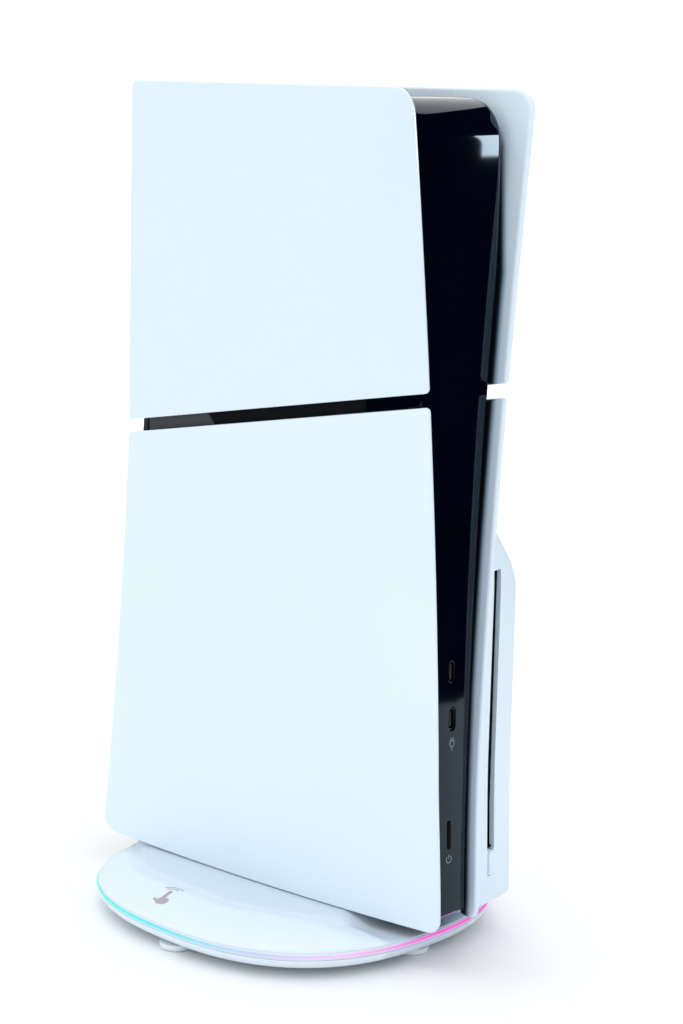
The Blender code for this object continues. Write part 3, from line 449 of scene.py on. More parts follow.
# Metal parts: darker and lighter tone, and roughness.
METALS = {
    "dark_nickel": ((0.07, 0.07, 0.075), (0.14, 0.14, 0.15), 0.3),
    "steel": ((0.42, 0.43, 0.45), (0.66, 0.67, 0.69), 0.32),
    "aluminium": ((0.55, 0.56, 0.58), (0.76, 0.77, 0.79), 0.35),
    "copper": ((0.60, 0.30, 0.18), (0.82, 0.47, 0.30), 0.3),
    "gold": ((0.62, 0.42, 0.20), (0.85, 0.62, 0.34), 0.3),
}

MATERIALS = {name: moulded(name, *look, **SHADING.get(name, {})) for name, look in MOULDED.items()}
MATERIALS.update({name: metal(name, *look) for name, look in METALS.items()})
MATERIALS.update({
    "panel_inner": panel_inner("panel_inner"),
    "core_housing": housing_plastic("core_housing"),
    "circuit_board": circuit("circuit_board"),
    # The stand's white: a greyer dock tone painted as shade under the console, and the crescents' tone.
    "stand_white": stand_plastic("stand_white", (0.61, 0.72, 0.82), (0.74, 0.83, 0.90)),
    "ring_body": ring_light("ring_body", 0.10, (0.62, 0.70, 0.78), (0.66, 0.74, 0.82)),
    "ring_line": ring_light("ring_line", 0.85, (0.05, 0.06, 0.08), (0.07, 0.08, 0.10)),
})


# ---------------------------------------------------------------- making pieces

def new_object(name, points, faces):
    mesh = bpy.data.meshes.new(name)
    mesh.from_pydata([tuple(point) for point in points], [], faces)
    cage = bmesh.new()
    cage.from_mesh(mesh)
    bmesh.ops.recalc_face_normals(cage, faces=cage.faces)
    cage.to_mesh(mesh)
    cage.free()
    obj = bpy.data.objects.new(name, mesh)
    bpy.context.scene.collection.objects.link(obj)
    return obj


def apply_modifiers(obj):
    graph = bpy.context.evaluated_depsgraph_get()
    final = bpy.data.meshes.new_from_object(obj.evaluated_get(graph))
    obj.modifiers.clear()
    obj.data = final


def cut(obj, cutters, operation="DIFFERENCE"):
    """Cuts obj with each cutter in turn, and removes the cutters."""
    for cutter in cutters:
        modifier = obj.modifiers.new("cut", "BOOLEAN")
        modifier.operation = operation
        modifier.solver = "EXACT"
        modifier.object = cutter
    apply_modifiers(obj)
    for cutter in cutters:
        bpy.data.objects.remove(cutter)
    return obj


def soften(obj, width, segments=2, angle=35):
    rounding = obj.modifiers.new("rounded_edges", "BEVEL")
    rounding.width = width
    rounding.segments = segments
    rounding.limit_method = "ANGLE"
    rounding.angle_limit = math.radians(angle)
    apply_modifiers(obj)
    return obj


def piece(obj, material, body, replaces=(), smooth=40):
    """Gives a piece its material, its shading, the body it rides on and the nodes it stands for."""
    obj.data.materials.clear()
    obj.data.materials.append(MATERIALS[material])
    obj.data.shade_smooth()
    obj.data.set_sharp_from_angle(angle=math.radians(smooth))
    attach(obj, body)
    if replaces:
        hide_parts(*replaces)
    return obj


def block(name, low, high):
    low, high = Vector(low), Vector(high)
    points = [(x, y, z) for x in (low.x, high.x) for y in (low.y, high.y) for z in (low.z, high.z)]
    faces = [(0, 1, 3, 2), (4, 6, 7, 5), (0, 4, 5, 1), (2, 3, 7, 6), (0, 2, 6, 4), (1, 5, 7, 3)]
    return new_object(name, points, faces)


def band(here, there):
    """Faces between two closed rings of equally many point numbers."""
    count = len(here)
    return [(here[k], here[(k + 1) % count], there[(k + 1) % count], there[k]) for k in range(count)]


def loft(name, rings):
    """A closed solid through rings of equally many points, with its two ends capped."""
    count = len(rings[0])
    numbers = [range(k * count, (k + 1) * count) for k in range(len(rings))]
    faces = [face for here, there in zip(numbers, numbers[1:]) for face in band(here, there)]
    faces += [tuple(numbers[0]), tuple(numbers[-1])]
    return new_object(name, [point for ring in rings for point in ring], faces)


def turned(name, profile, centre, steps, oval=False):
    """Turns (radius, height) points in millimetres about Z, or sweeps them round the stand's oval.

    A profile that starts on the axis runs back to the axis. Any other is closed.
    """
    solid = profile[0][0] == 0
    points, rings, faces = [], [], []
    for radius, z in profile:
        start = len(points)
        for k in range(1 if solid and radius == 0 else steps):
            angle = 2 * math.pi * k / steps
            reach = radius * MM * (stretch(angle) if oval else 1.0)
            points.append(centre + Vector((reach * math.cos(angle), reach * math.sin(angle), z * MM)))
        rings.append(range(start, len(points)))
    for here, there in zip(rings, rings[1:] + ([] if solid else rings[:1])):
        if len(here) == 1:
            faces += [(here[0], there[(k + 1) % steps], there[k]) for k in range(steps)]
        elif len(there) == 1:
            faces += [(here[k], here[(k + 1) % steps], there[0]) for k in range(steps)]
        else:
            faces += band(here, there)
    return new_object(name, points, faces)


def arc(centre, radius, start, end, steps):
    """Points along a circular arc, by angles in degrees."""
    return [
        (centre[0] + radius * math.cos(math.radians(a)), centre[1] + radius * math.sin(math.radians(a)))
        for a in spread(start, end, steps)
    ]


def stadium(half_wide, half_tall, steps=10):
    """An upright slot outline with round ends, as (x, z) points."""
    straight = half_tall - half_wide
    return arc((0, straight), half_wide, 0, 180, steps) + arc((0, -straight), half_wide, 180, 360, steps)


def slab(name, outline, middle, low_y, high_y):
    """An (x, z) outline about middle, extruded from low_y to high_y."""
    rings = [[Vector((middle[0] + x, y, middle[1] + z)) for x, z in outline] for y in (low_y, high_y)]
    return loft(name, rings)


def collar(name, outer, inner, middle, low_y, high_y):
    """A tube along Y between two (x, z) outlines of equally many points."""
    count = len(outer)
    loops = ((outer, low_y), (outer, high_y), (inner, high_y), (inner, low_y))
    points = [(middle[0] + x, y, middle[1] + z) for loop, y in loops for x, z in loop]
    numbers = [range(k * count, (k + 1) * count) for k in range(4)]
    faces = [face for here, there in zip(numbers, numbers[1:] + numbers[:1]) for face in band(here, there)]
    return new_object(name, points, faces)


# ---------------------------------------------------------------- side panels

CORNER_STEPS = 8
ROLL_STEPS = 8
OUTER_ROLL = 0.7 * MM
INNER_ROLL = 1.7 * MM
BORDER = 3.0 * MM
# Corner radii: front bottom, back bottom, front top, back top.
UPPER_CORNERS = (2.0 * MM, 2.0 * MM, 10.0 * MM, 3.0 * MM)
LOWER_CORNERS = (6.0 * MM, 9.0 * MM, 2.0 * MM, 2.0 * MM)


def spot(front, across, lower, up, low, high):
    """The (y, z) at given distances from the front or back edge and from the lower or upper edge."""
    y = FRONT_Y_TOP if front else BACK_Y_TOP
    for _ in range(4):
        z = low(y) + up if lower else high(y) - up
        y = front_edge_y(z) + across if front else back_edge_y(z) - across
    return y, z


def corner(front, lower, radius, inset, low, high):
    """Points of one rounded corner, from the upright edge to the level edge."""
    turn = max(radius - inset, 0.25 * MM)
    middle = inset + turn
    return [
        spot(front, middle - turn * math.cos(a), lower, middle - turn * math.sin(a), low, high)
        for a in (math.pi / 2 * k / CORNER_STEPS for k in range(CORNER_STEPS + 1))
    ]


def edge_loop(inset, low, high, radii, level_marks, upright_count):
    """The panel's outline drawn in by inset, as four sides that meet in the middle of its corners."""
    corners = {
        key: corner(key[0], key[1], radius, inset, low, high)
        for key, radius in zip(((True, True), (False, True), (True, False), (False, False)), radii)
    }
    half = CORNER_STEPS // 2

    def level(lower):
        near, far = corners[(True, lower)], corners[(False, lower)]
        ys = level_marks(near[-1][0], far[-1][0])
        z_at = (lambda y: low(y) + inset) if lower else (lambda y: high(y) - inset)
        return near[half:] + [(y, z_at(y)) for y in ys] + far[half:][::-1]

    def upright(front):
        below, above = corners[(front, True)], corners[(front, False)]
        zs = spread(below[0][1], above[0][1], upright_count + 2)[1:-1]
        y_at = (lambda z: front_edge_y(z) + inset) if front else (lambda z: back_edge_y(z) - inset)
        return below[:half + 1][::-1] + [(y_at(z), z) for z in zs] + above[:half + 1]

    return level(True), upright(False), level(False), upright(True)


def coons(bottom, right, top, left):
    """Fills four sides of (y, z) points with a grid, row by row."""
    across, up = len(bottom) - 1, len(left) - 1
    rows = []
    for i in range(up + 1):
        v = i / up
        row = []
        for j in range(across + 1):
            u = j / across
            spot_here = []
            for axis in (0, 1):
                sides = (1 - v) * bottom[j][axis] + v * top[j][axis]
                sides += (1 - u) * left[i][axis] + u * right[i][axis]
                sides -= (1 - u) * (1 - v) * bottom[0][axis] + u * (1 - v) * bottom[-1][axis]
                sides -= (1 - u) * v * top[0][axis] + u * v * top[-1][axis]
                spot_here.append(sides)
            row.append(tuple(spot_here))
        rows.append(row)
    return rows


def around(sides):
    """The four sides as one closed loop."""
    bottom, right, top, left = sides
    return bottom[:-1] + right[:-1] + top[::-1][:-1] + left[::-1][:-1]


def roll(inset, radius):
    """How far a rounded edge has fallen away at a distance inside the outline."""
    if inset >= radius:
        return 0.0
    return radius - math.sqrt(radius**2 - (radius - inset)**2)


def even_marks(count):
    return lambda start, end: spread(start, end, count + 2)[1:-1]


def panel_shell(name, side, low, high, radii, level_marks, upright_count, skin):
    """A curved side panel with round corners and rolled edges. skin(y, z, inner) is its half width."""
    insets = [INNER_ROLL * (1 - math.cos(math.radians(90 * k / ROLL_STEPS))) for k in range(ROLL_STEPS + 1)]
    loops = [edge_loop(inset, low, high, radii, level_marks, upright_count) for inset in insets + [BORDER]]
    border = len(loops) - 1
    rows = coons(*loops[-1])
    height, width = len(rows), len(rows[0])
    ring_count = len(around(loops[0]))
    points, faces = [], []

    def x_of(y, z, inset, inner):
        if inner:
            return side * (skin(y, z, True) + roll(inset, INNER_ROLL))
        return side * (skin(y, z, False) - roll(inset, OUTER_ROLL))

    for inner in (False, True):
        start = len(points)
        for inset, sides in zip(insets, loops[:-1]):
            points += [(x_of(y, z, inset, inner), y, z) for y, z in around(sides)]
        grid_start = len(points)
        points += [(x_of(y, z, BORDER, inner), y, z) for row in rows for y, z in row]
        edge = [grid_start + j for j in range(width - 1)]
        edge += [grid_start + i * width + width - 1 for i in range(height - 1)]
        edge += [grid_start + (height - 1) * width + j for j in range(width - 1, 0, -1)]
        edge += [grid_start + i * width for i in range(height - 1, 0, -1)]
        for level in range(border):
            here = [start + level * ring_count + k for k in range(ring_count)]
            there = [k + ring_count for k in here] if level < border - 1 else edge
            faces += band(here, there)
        for i in range(height - 1):
            for j in range(width - 1):
                a = grid_start + i * width + j
                faces.append((a, a + 1, a + width + 1, a + width))
        if not inner:
            inner_offset = len(points)
    faces += band(range(ring_count), range(inner_offset, inner_offset + ring_count))
    return new_object(name, points, faces)


def shade_inside(obj, side):
    """Gives the inner faces near a panel's front edge their own material, which paints the shade of the gap
    by the core.
    """
    obj.data.materials.append(MATERIALS["panel_inner"])
    for face in obj.data.polygons:
        x, y, z = face.center
        if face.normal.x * side < -0.55 and y < -60 * MM and abs(x) < half_width(y, z):
            face.material_index = 1


def finish_panel(obj, name, side, material):
    piece(obj, material, name, (name,))
    shade_inside(obj, side)


def plain_skin(y, z, inner):
    return half_width(y, z) - (PANEL_WALL if inner else 0.0)


def drive_skin(y, z, inner):
    inset = PANEL_WALL if inner else 0.0
    wall = half_width(y, z)
    return wall - inset + (BULGE_X - wall) * bulge(y, z, inset)


def upper_panel(name, side):
    obj = panel_shell(
        name + "_skin", side, lambda y: slit_z(y) + SLIT_WIDTH / 2, lambda y: CONSOLE_TOP,
        UPPER_CORNERS, even_marks(44), 30, plain_skin,
    )
    finish_panel(obj, name, side, "panel_gloss")


def lower_shell(name, side, level_marks, upright_count, skin):
    """The shell of a side panel under the slit."""
    return panel_shell(
        name + "_skin", side, lambda y: CONSOLE_BOTTOM, lambda y: slit_z(y) - SLIT_WIDTH / 2,
        LOWER_CORNERS, level_marks, upright_count, skin,
    )


def left_lower_panel():
    obj = lower_shell("left_lower_panel", -1, even_marks(44), 46, plain_skin)
    finish_panel(obj, "left_lower_panel", -1, "panel_matte")


def drive_marks(start, end):
    """Level positions for the drive cover: close together across the step in front of the bulge."""
    step_start, step_end = BULGE_FRONT_Y - 0.4 * MM, BULGE_FRONT_Y + BULGE_FRONT_RUN + 3.4 * MM
    lead = spread(start, step_start, 6)[1:-1]
    step = spread(step_start, step_end, 38)
    return lead + step + spread(step_end, end, 44)[1:-1]


def disc_drive_cover():
    """The lower right panel, with the disc slot and the eject button's seat cut through it."""
    obj = lower_shell("disc_drive_cover", 1, drive_marks, 56, drive_skin)
    half = DISC_SLOT_WIDTH / 2 + 0.4 * MM
    front, back = BULGE_FRONT_Y - 6 * MM, BULGE_FRONT_Y + 16 * MM
    slot = block("disc_slot_cutter",
                 (DISC_SLOT_X - half - DISC_SLOT_INNER_EXTRA, front, EJECT_HIGH.z + 0.2 * MM),
                 (DISC_SLOT_X + half, back, DISC_SLOT_TOP))
    cut(obj, [slot, eject_slab("eject_seat_cutter", 0.4 * MM, front, back)])
    finish_panel(obj, "disc_drive_cover", 1, "panel_matte")


def disc_slot_seal():
    """A dark channel behind the slot, a near-black lining that paints the shade deep in the drive, with two
    felt lips as real slot drives have, and a fine gap for the disc.
    """
    low_z, high_z = EJECT_HIGH.z + 0.4 * MM, DISC_SLOT_TOP + 2.5 * MM
    y_low, y_high = BULGE_FRONT_Y + 7.4 * MM, BULGE_FRONT_Y + 13.5 * MM
    channel = block("disc_slot_channel", (DISC_SLOT_X - 4.0 * MM, y_low, low_z),
                    (DISC_SLOT_X + 4.0 * MM, y_high, high_z))
    throat = block("disc_slot_throat", (DISC_SLOT_X - 3.0 * MM, y_low - MM, low_z + 0.8 * MM),
                   (DISC_SLOT_X + 3.0 * MM, y_high - 0.8 * MM, high_z - 0.8 * MM))
    piece(cut(channel, [throat]), "seal_black", "disc_drive_cover")
    for number, (x_low, x_high) in enumerate(((-2.9, -0.35), (0.35, 2.9)), 1):
        lip = block(
            f"disc_slot_felt_{number}",
            (DISC_SLOT_X + x_low * MM, y_low + 1.6 * MM, low_z + 0.9 * MM),
            (DISC_SLOT_X + x_high * MM, y_low + 3.0 * MM, high_z - 0.9 * MM),
        )
        piece(soften(lip, 0.3 * MM), "seal_black", "disc_drive_cover")


def disc_drive_cover_floor():
    """Closes the underside of the bulge."""
    low_z, high_z = CONSOLE_BOTTOM + 0.6 * MM, CONSOLE_BOTTOM + 1.8 * MM
    ys = spread(BULGE_FRONT_Y + 4.5 * MM, BULGE_BACK_Y + 30 * MM, 60)
    rings = []
    for y in ys:
        outer = drive_skin(y, high_z, True) - 0.05 * MM
        inner = core_half(y, high_z) + 0.5 * MM
        rings.append([Vector((x, y, z)) for x, z in
                      ((inner, low_z), (outer, low_z), (outer, high_z), (inner, high_z))])
    piece(loft("disc_drive_cover_floor", rings), "panel_matte", "disc_drive_cover")


def eject_slab(name, extra, low_y, high_y):
    """The eject button's outline, with a round top, drawn out by extra and extruded."""
    half, tall = DISC_SLOT_WIDTH / 2 + extra, (EJECT_HIGH.z - EJECT_LOW.z) / 2 + extra
    top, foot = 1.9 * MM, 0.6 * MM
    outline = arc((half - top, tall - top), top, 0, 90, 8)
    outline += arc((top - half, tall - top), top, 90, 180, 8)
    outline += arc((foot - half, foot - tall), foot, 180, 270, 4)
    outline += arc((half - foot, foot - tall), foot, 270, 360, 4)
    return slab(name, outline, (DISC_SLOT_X, (EJECT_HIGH.z + EJECT_LOW.z) / 2), low_y, high_y)


def eject_button():
    cap = soften(eject_slab("eject_button_cap", 0.0, EJECT_LOW.y, EJECT_HIGH.y), 0.5 * MM, 3)
    piece(cap, "panel_matte", "eject_button", ("eject_button",))


# ---------------------------------------------------------------- the core

def core_ring(z, inset):
    """The core's outline at height z, drawn in by inset, starting at the front right."""
    into_corner = max(z - (CORE_TOP - CORE_CORNER), 0.0)
    drawn_back = CORE_CORNER - math.sqrt(max(CORE_CORNER**2 - into_corner**2, 0.0))
    low_edge = max(CORE_BOTTOM + CORE_CHAMFER - z, 0.0) * CORE_CHAMFER_SLOPE
    front = core_front_y(z) + drawn_back + low_edge + inset
    back = core_back_y(z) - inset
    near_top = max(z - (CORE_TOP - CORE_EDGE), 0.0)
    narrowed = CORE_EDGE - math.sqrt(max(CORE_EDGE**2 - near_top**2, 0.0))
    right = []
    for k in range(9):
        angle = math.radians(90 - 90 * k / 8)
        y = front + CORE_EDGE * (1 - math.sin(angle))
        right.append((core_half(y, z) - inset - narrowed - CORE_EDGE * (1 - math.cos(angle)), y))
    for share in spread(0.0, 1.0, 30)[1:]:
        y = front + CORE_EDGE + share * (back - front - CORE_EDGE)
        right.append((core_half(y, z) - inset - narrowed, y))
    left = [(-x, y) for x, y in reversed(right)]
    return [Vector((x, y, z)) for x, y in right + left]


def core_solid(name, inset):
    turned_zs = [CORE_TOP - CORE_CORNER * (1 - math.sin(math.radians(a))) for a in spread(0, 90, 19)]
    straight = spread(CORE_BOTTOM, CORE_TOP - CORE_CORNER, 26)[:-1]
    low, high = CORE_BOTTOM + inset, CORE_TOP - inset
    levels = sorted({clamp(z, low, high) for z in [CORE_BOTTOM + CORE_CHAMFER] + straight + turned_zs})
    return loft(name, [core_ring(z, inset) for z in levels])


def core_shell(name, y_low, y_high, x_low=-0.2, x_high=0.2):
    """The part of the core's shell between two planes across it, without what is inside."""
    obj = core_solid(name, 0.0)
    cut(obj, [block(name + "_keep", (x_low, y_low, 0), (x_high, y_high, 0.5))], "INTERSECT")
    return cut(obj, [core_solid(name + "_hollow", CORE_WALL)])


def power_slab(name, extra, low_y, high_y):
    """The power button's outline, drawn out by extra and extruded."""
    middle, size = (POWER_LOW + POWER_HIGH) / 2, POWER_HIGH - POWER_LOW
    outline = stadium(size.x / 2 + extra, size.z / 2 + extra)
    return slab(name, outline, (middle.x, middle.z), low_y, high_y)


def front_bezel():
    """The glossy front of the core, with holes for the two ports and the power button."""
    obj = core_shell("front_bezel_gloss", -0.2, BEZEL_END_Y)
    cutters = [
        slab(f"usb_c_hole_{number}", stadium(2.3 * MM, 5.5 * MM), (0, z), *FRONT_CUT)
        for number, z in enumerate(USB_C_HEIGHTS, 1)
    ]
    cutters.append(power_slab("power_hole", 0.3 * MM, *FRONT_CUT))
    cut(obj, cutters)
    piece(obj, "core_gloss", "console", ("front_bezel",), 30)


def housings():
    sides = (("left_housing", -0.2, -JOINT_GAP / 2), ("right_housing", JOINT_GAP / 2, 0.2))
    for name, x_low, x_high in sides:
        obj = core_shell(name + "_shell", BEZEL_END_Y + JOINT_GAP, HOUSING_END_Y, x_low, x_high)
        piece(obj, "core_housing", "console", (name,), 30)


def vent_fins():
    """Slanting fins in the channel between the core and each upper panel."""
    near, far, thick = -66 * MM, -50 * MM, 0.7 * MM
    for name, side in (("left", -1), ("right", 1)):
        points, faces = [], []
        z = CONSOLE_TOP - 16 * MM
        while z > SLIT_Z_FRONT + 12 * MM:
            start = len(points)
            inner, reach_near = core_half(near, z) + 0.2 * MM, half_width(near, z) - PANEL_WALL - 0.6 * MM
            reach_far = half_width(far, z) - PANEL_WALL - 0.6 * MM
            for lift in (0.0, thick):
                for x, y in ((inner, near), (reach_near, near), (reach_far, far)):
                    points.append((side * x, y, z + lift + 0.6 * (x - inner)))
            faces += [[start + k for k in face] for face in
                      ((0, 1, 2), (3, 5, 4), (0, 3, 4, 1), (1, 4, 5, 2), (2, 5, 3, 0))]
            z -= 3.2 * MM
        piece(new_object(f"vent_fins_{name}", points, faces), "core_matte", "console")


def contacts(name, boxes):
    """Gilt contacts, one for each pair of corners."""
    for number, (low, high) in enumerate(boxes, 1):
        piece(block(f"{name}_{number}", low, high), "gold", "console")


def front_ports():
    """Each port: a round-ended metal shell, its tongue and two rows of gilt contacts."""
    for number, (node, z) in enumerate(zip(("front_usb_c_upper", "front_usb_c_lower"), USB_C_HEIGHTS), 1):
        mouth = core_front_y(z) + 0.6 * MM
        shell = collar(f"usb_c_shell_{number}", stadium(1.9 * MM, 4.9 * MM), stadium(1.55 * MM, 4.55 * MM),
                       (0, z), mouth, mouth + 8 * MM)
        piece(shell, "dark_nickel", "console", (node,))
        tongue = block(f"usb_c_tongue_{number}", (-0.4 * MM, mouth + 0.4 * MM, z - 3.4 * MM),
                       (0.4 * MM, mouth + 8 * MM, z + 3.4 * MM))
        piece(soften(tongue, 0.15 * MM), "core_matte", "console")
        back = slab(f"usb_c_back_{number}", stadium(1.5 * MM, 4.5 * MM), (0, z), mouth + 7 * MM,
                    mouth + 7.8 * MM)
        piece(back, "seal_black", "console")
        near, far = mouth + 0.6 * MM, mouth + 6 * MM
        for row, x in enumerate((-0.46 * MM, 0.46 * MM), 1):
            places = [z + (k - 3.5) * 0.75 * MM for k in range(8)]
            contacts(f"usb_c_contact_{number}_{row}", [
                ((x - 0.05 * MM, near, place - 0.2 * MM), (x + 0.05 * MM, far, place + 0.2 * MM))
                for place in places
            ])


def inside(node, x_share, y_share, z_share):
    """Two corners inside a node's box, from shares of its width, depth and height."""
    low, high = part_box(node)
    size = high - low
    near, far = zip(*((low[k] + share[0] * size[k], low[k] + share[1] * size[k])
                      for k, share in enumerate((x_share, y_share, z_share))))
    return near, far


def rear_ports():
    """What shows inside the rear sockets: tongues, gilt contacts and the mains inlet's pins."""
    for node, count in (("rear_usb_a_upper", 4), ("rear_usb_a_lower", 4), ("hdmi_socket", 9)):
        tongue = block(f"{node}_tongue", *inside(node, (0.36, 0.62), (0.3, 0.88), (0.16, 0.84)))
        piece(soften(tongue, 0.12 * MM), "core_matte", "console")
        contacts(f"{node}_contact", [
            inside(node, (0.61, 0.645), (0.35, 0.84), (middle - 0.014, middle + 0.014))
            for middle in spread(0.24, 0.76, count)
        ])
    contacts("lan_contact", [
        inside("lan_socket", (0.2, 0.26), (0.3, 0.8), (middle - 0.012, middle + 0.012))
        for middle in spread(0.28, 0.72, 8)
    ])
    for number, middle in enumerate((0.34, 0.66), 1):
        corners = inside("ac_inlet", (0.42, 0.58), (0.3, 0.85), (middle - 0.05, middle + 0.05))
        piece(soften(block(f"mains_pin_{number}", *corners), 0.2 * MM), "steel", "console")


def power_button():
    cap = soften(power_slab("power_button_cap", 0.0, POWER_LOW.y, POWER_HIGH.y), 0.3 * MM, 3)
    piece(cap, "seal_black", "power_button", ("power_button",))


# ---------------------------------------------------------------- marks laid on a surface

def ribbon(name, path, widths, across, surface, thick):
    """A strip along path, in a surface's own two coordinates, laid on it.

    surface(u, v, lift) is a point on or over it, and across is the number of strips side by side.
    """
    points = []
    for k, (u, v) in enumerate(path):
        ahead, behind = path[min(k + 1, len(path) - 1)], path[max(k - 1, 0)]
        run = Vector((ahead[0] - behind[0], ahead[1] - behind[1])).normalized()
        for lift in (0.0, thick):
            for j in range(across + 1):
                off = widths[k] * (j / across - 0.5)
                points.append(surface(u - run.y * off, v + run.x * off, lift))
    per = 2 * (across + 1)
    faces = []
    for k in range(len(path) - 1):
        here, there = k * per, (k + 1) * per
        for j in range(across):
            faces.append((here + j, there + j, there + j + 1, here + j + 1))
            top, next_top = here + across + 1 + j, there + across + 1 + j
            faces.append((top, top + 1, next_top + 1, next_top))
        faces.append((here, here + across + 1, there + across + 1, there))
        faces.append((here + across, there + across, there + per - 1, here + per - 1))
    for start in (0, (len(path) - 1) * per):
        for j in range(across):
            faces.append((start + j, start + j + 1, start + across + 2 + j, start + across + 1 + j))
    return new_object(name, points, faces)


def on_front(u, v, lift):
    """A place on the front strip: u is x, v is z."""
    return Vector((u, core_front_y(v) + 0.05 * MM - lift, v))


def front_mark(name, path):
    """A thin line on the front strip."""
    line = ribbon(name, path, [FRONT_MARK_WIDTH] * len(path), 1, on_front, FRONT_MARK_DEPTH)
    piece(line, "icon_light", "console")


def front_icons():
    """A broken ring with a bar by the power button, and a plug by the lower port."""
    front_mark("power_icon_ring", arc((POWER_ICON_X, POWER_ICON_Z), 1.6 * MM, 128, 412, 26))
    front_mark("power_icon_bar", [(POWER_ICON_X, POWER_ICON_Z + z * MM) for z in (0.2, 1.1, 2.0)])
    half, top = 1.3 * MM, PORT_ICON_Z + 1.4 * MM
    bowl = arc((0, PORT_ICON_Z), half, 180, 360, 10)
    front_mark("port_icon_plug", [(-half, top)] + bowl + [(half, top), (-half, top)])
    for number, x in enumerate((-0.65 * MM, 0.65 * MM), 1):
        front_mark(f"port_icon_prong_{number}", [(x, PORT_ICON_Z + z * MM) for z in (1.4, 2.1, 2.8)])
    front_mark("port_icon_tail", [(0, PORT_ICON_Z + z * MM) for z in (-1.3, -2.2, -3.1)])


# ---------------------------------------------------------------- the stand

def crease_x(y):
    """How far from the middle plane the dock's slope meets the crescent."""
    back = smoothstep((CREASE_BACK_Y - y) / CREASE_BACK_RUN)
    front = smoothstep((y - CREASE_FRONT_Y) / CREASE_FRONT_RUN)
    return CREASE_X + CREASE_SWELL * min(back, front)


def stand_height(x, y):
    """Height of the stand's top surface: two domed crescents beside a sloping dock."""
    arch = clamp((COVER_RADIUS - profile_radius(x, y)) / CRESCENT_RUN)
    beyond = abs(x) - crease_x(y)
    dip = 1 - 0.5 * (1 - smoothstep(beyond / (12 * MM)))
    pocket = smoothstep((beyond + 6 * MM) / (6 * MM))
    crescent = CRESCENT_RISE * math.sqrt(1 - (1 - arch)**2) * dip * pocket
    ends = smoothstep((y + 68 * MM) / (16 * MM)) * smoothstep((86 * MM - y) / (8 * MM))
    slope = clamp(-beyond / (crease_x(y) - DOCK_HALF))
    foot = 0.3 * (1 - smoothstep(beyond / (6 * MM)))
    dock = (DOCK_TOP - COVER_RIM_Z) * ends * (foot + 0.7 * slope**0.8)
    return COVER_RIM_Z + max(crescent, dock)


def stand_top_cover():
    radii = spread(0, 80.0 * MM, 90)[1:] + [82 * MM, 84 * MM, 85.2 * MM, 85.8 * MM, COVER_RADIUS]
    sides = 300
    angles = [2 * math.pi * k / sides for k in range(sides)]
    points, faces = [(0.0, 0.0, stand_height(0, 0))], []
    for radius in radii:
        drop = 0.25 * MM * smoothstep((radius - 85 * MM) / MM)
        for angle in angles:
            reach = radius * stretch(angle)
            x, y = reach * math.cos(angle), reach * math.sin(angle)
            points.append((x, y, stand_height(x, y) - drop))
    edge = len(points) - sides
    points += [(x, y, COVER_UNDER_Z) for x, y, _ in points[edge:]]
    for k in range(sides):
        after = (k + 1) % sides
        faces.append((0, 1 + k, 1 + after))
        for ring in range(len(radii) - 1):
            a, b = 1 + ring * sides + k, 1 + ring * sides + after
            faces.append((a, a + sides, b + sides, b))
        faces.append((edge + k, edge + sides + k, edge + sides + after, edge + after))
    faces.append(tuple(edge + sides + k for k in reversed(range(sides))))
    obj = new_object("stand_cover_skin", points, faces)
    piece(obj, "stand_white", "stand", ("stand_top_cover",), 30)


# Profiles of the stand's shells, as (radius, height) in millimetres.
BASE_PROFILE = [(0, 5.2), (83.0, 5.2), (84.4, 9.2), (86.5, 9.2)] + arc((85.9, 8.5), 0.7, 0, -20, 4)
BASE_PROFILE += [(86.3, 7.6), (85.6, 6.4), (84.5, 5.4), (83.0, 4.6), (81.0, 4.0), (78.6, 3.6), (76.0, 3.4)]
BASE_PROFILE += [(0, 3.4)]
GUIDE_PROFILE = [(82.6, 12.2), (86.1, 12.2), (86.6, 11.8), (86.6, 9.8), (86.3, 9.3), (82.6, 9.3)]
LINE_PROFILE = [(86.62, 11.6)] + arc((86.65, 10.85), 0.65, 80, -80, 8) + [(86.62, 10.1)]


def stand_shells():
    """The base, the light guide above it, and the guide's bright lip."""
    for name, profile, material, slot, replaced in (
        ("stand_base_skin", BASE_PROFILE, "stand_white", "stand_white", ("stand_bottom_cover",)),
        ("light_ring_guide", GUIDE_PROFILE, "ring_body", "light_guide", ("light_ring",)),
        ("light_ring_line", LINE_PROFILE, "ring_line", "light_guide", ()),
    ):
        piece(turned(name, profile, Vector(), 200, oval=True), material, "stand", replaced)


def on_stand(u, v, lift):
    """A place on the stand's cover: u is x, v is y."""
    return Vector((u, v, stand_height(u, v) + 0.02 * MM + lift))


# Strokes of the touch mark: places along and beside the finger, widths, strips side by side, thickness.
# Lengths are in millimetres from the fingertip.
TOUCH_STROKES = (
    ("palm", ((-14.6, -1.2), (-14.0, -1.2), (-12.6, -1.1), (-10.8, -0.9), (-9.2, -0.6), (-8.4, -0.5)),
     (3.0, 4.6, 5.6, 5.8, 4.8, 3.6), 4, 0.08),
    ("finger", ((-9.0, 0.2), (-6.0, 0.1), (-2.0, 0.0), (-0.8, 0.0), (-0.2, 0.0), (0.1, 0.0)),
     (1.9, 1.9, 1.9, 1.8, 1.3, 0.5), 3, 0.09),
    ("thumb", ((-12.0, 1.2), (-11.0, 2.6), (-9.8, 3.6), (-9.2, 3.9)), (1.6, 1.6, 1.4, 0.6), 2, 0.09),
    ("ripple_1", arc((-0.8, 0.0), 3.4, -52, 52, 16), (0.75,) * 16, 1, 0.08),
    ("ripple_2", arc((-0.8, 0.0), 5.8, -52, 52, 16), (0.75,) * 16, 1, 0.08),
)
TOUCH_TIP, TOUCH_HEADING = Vector((-59.0, 18.2)), math.radians(22)


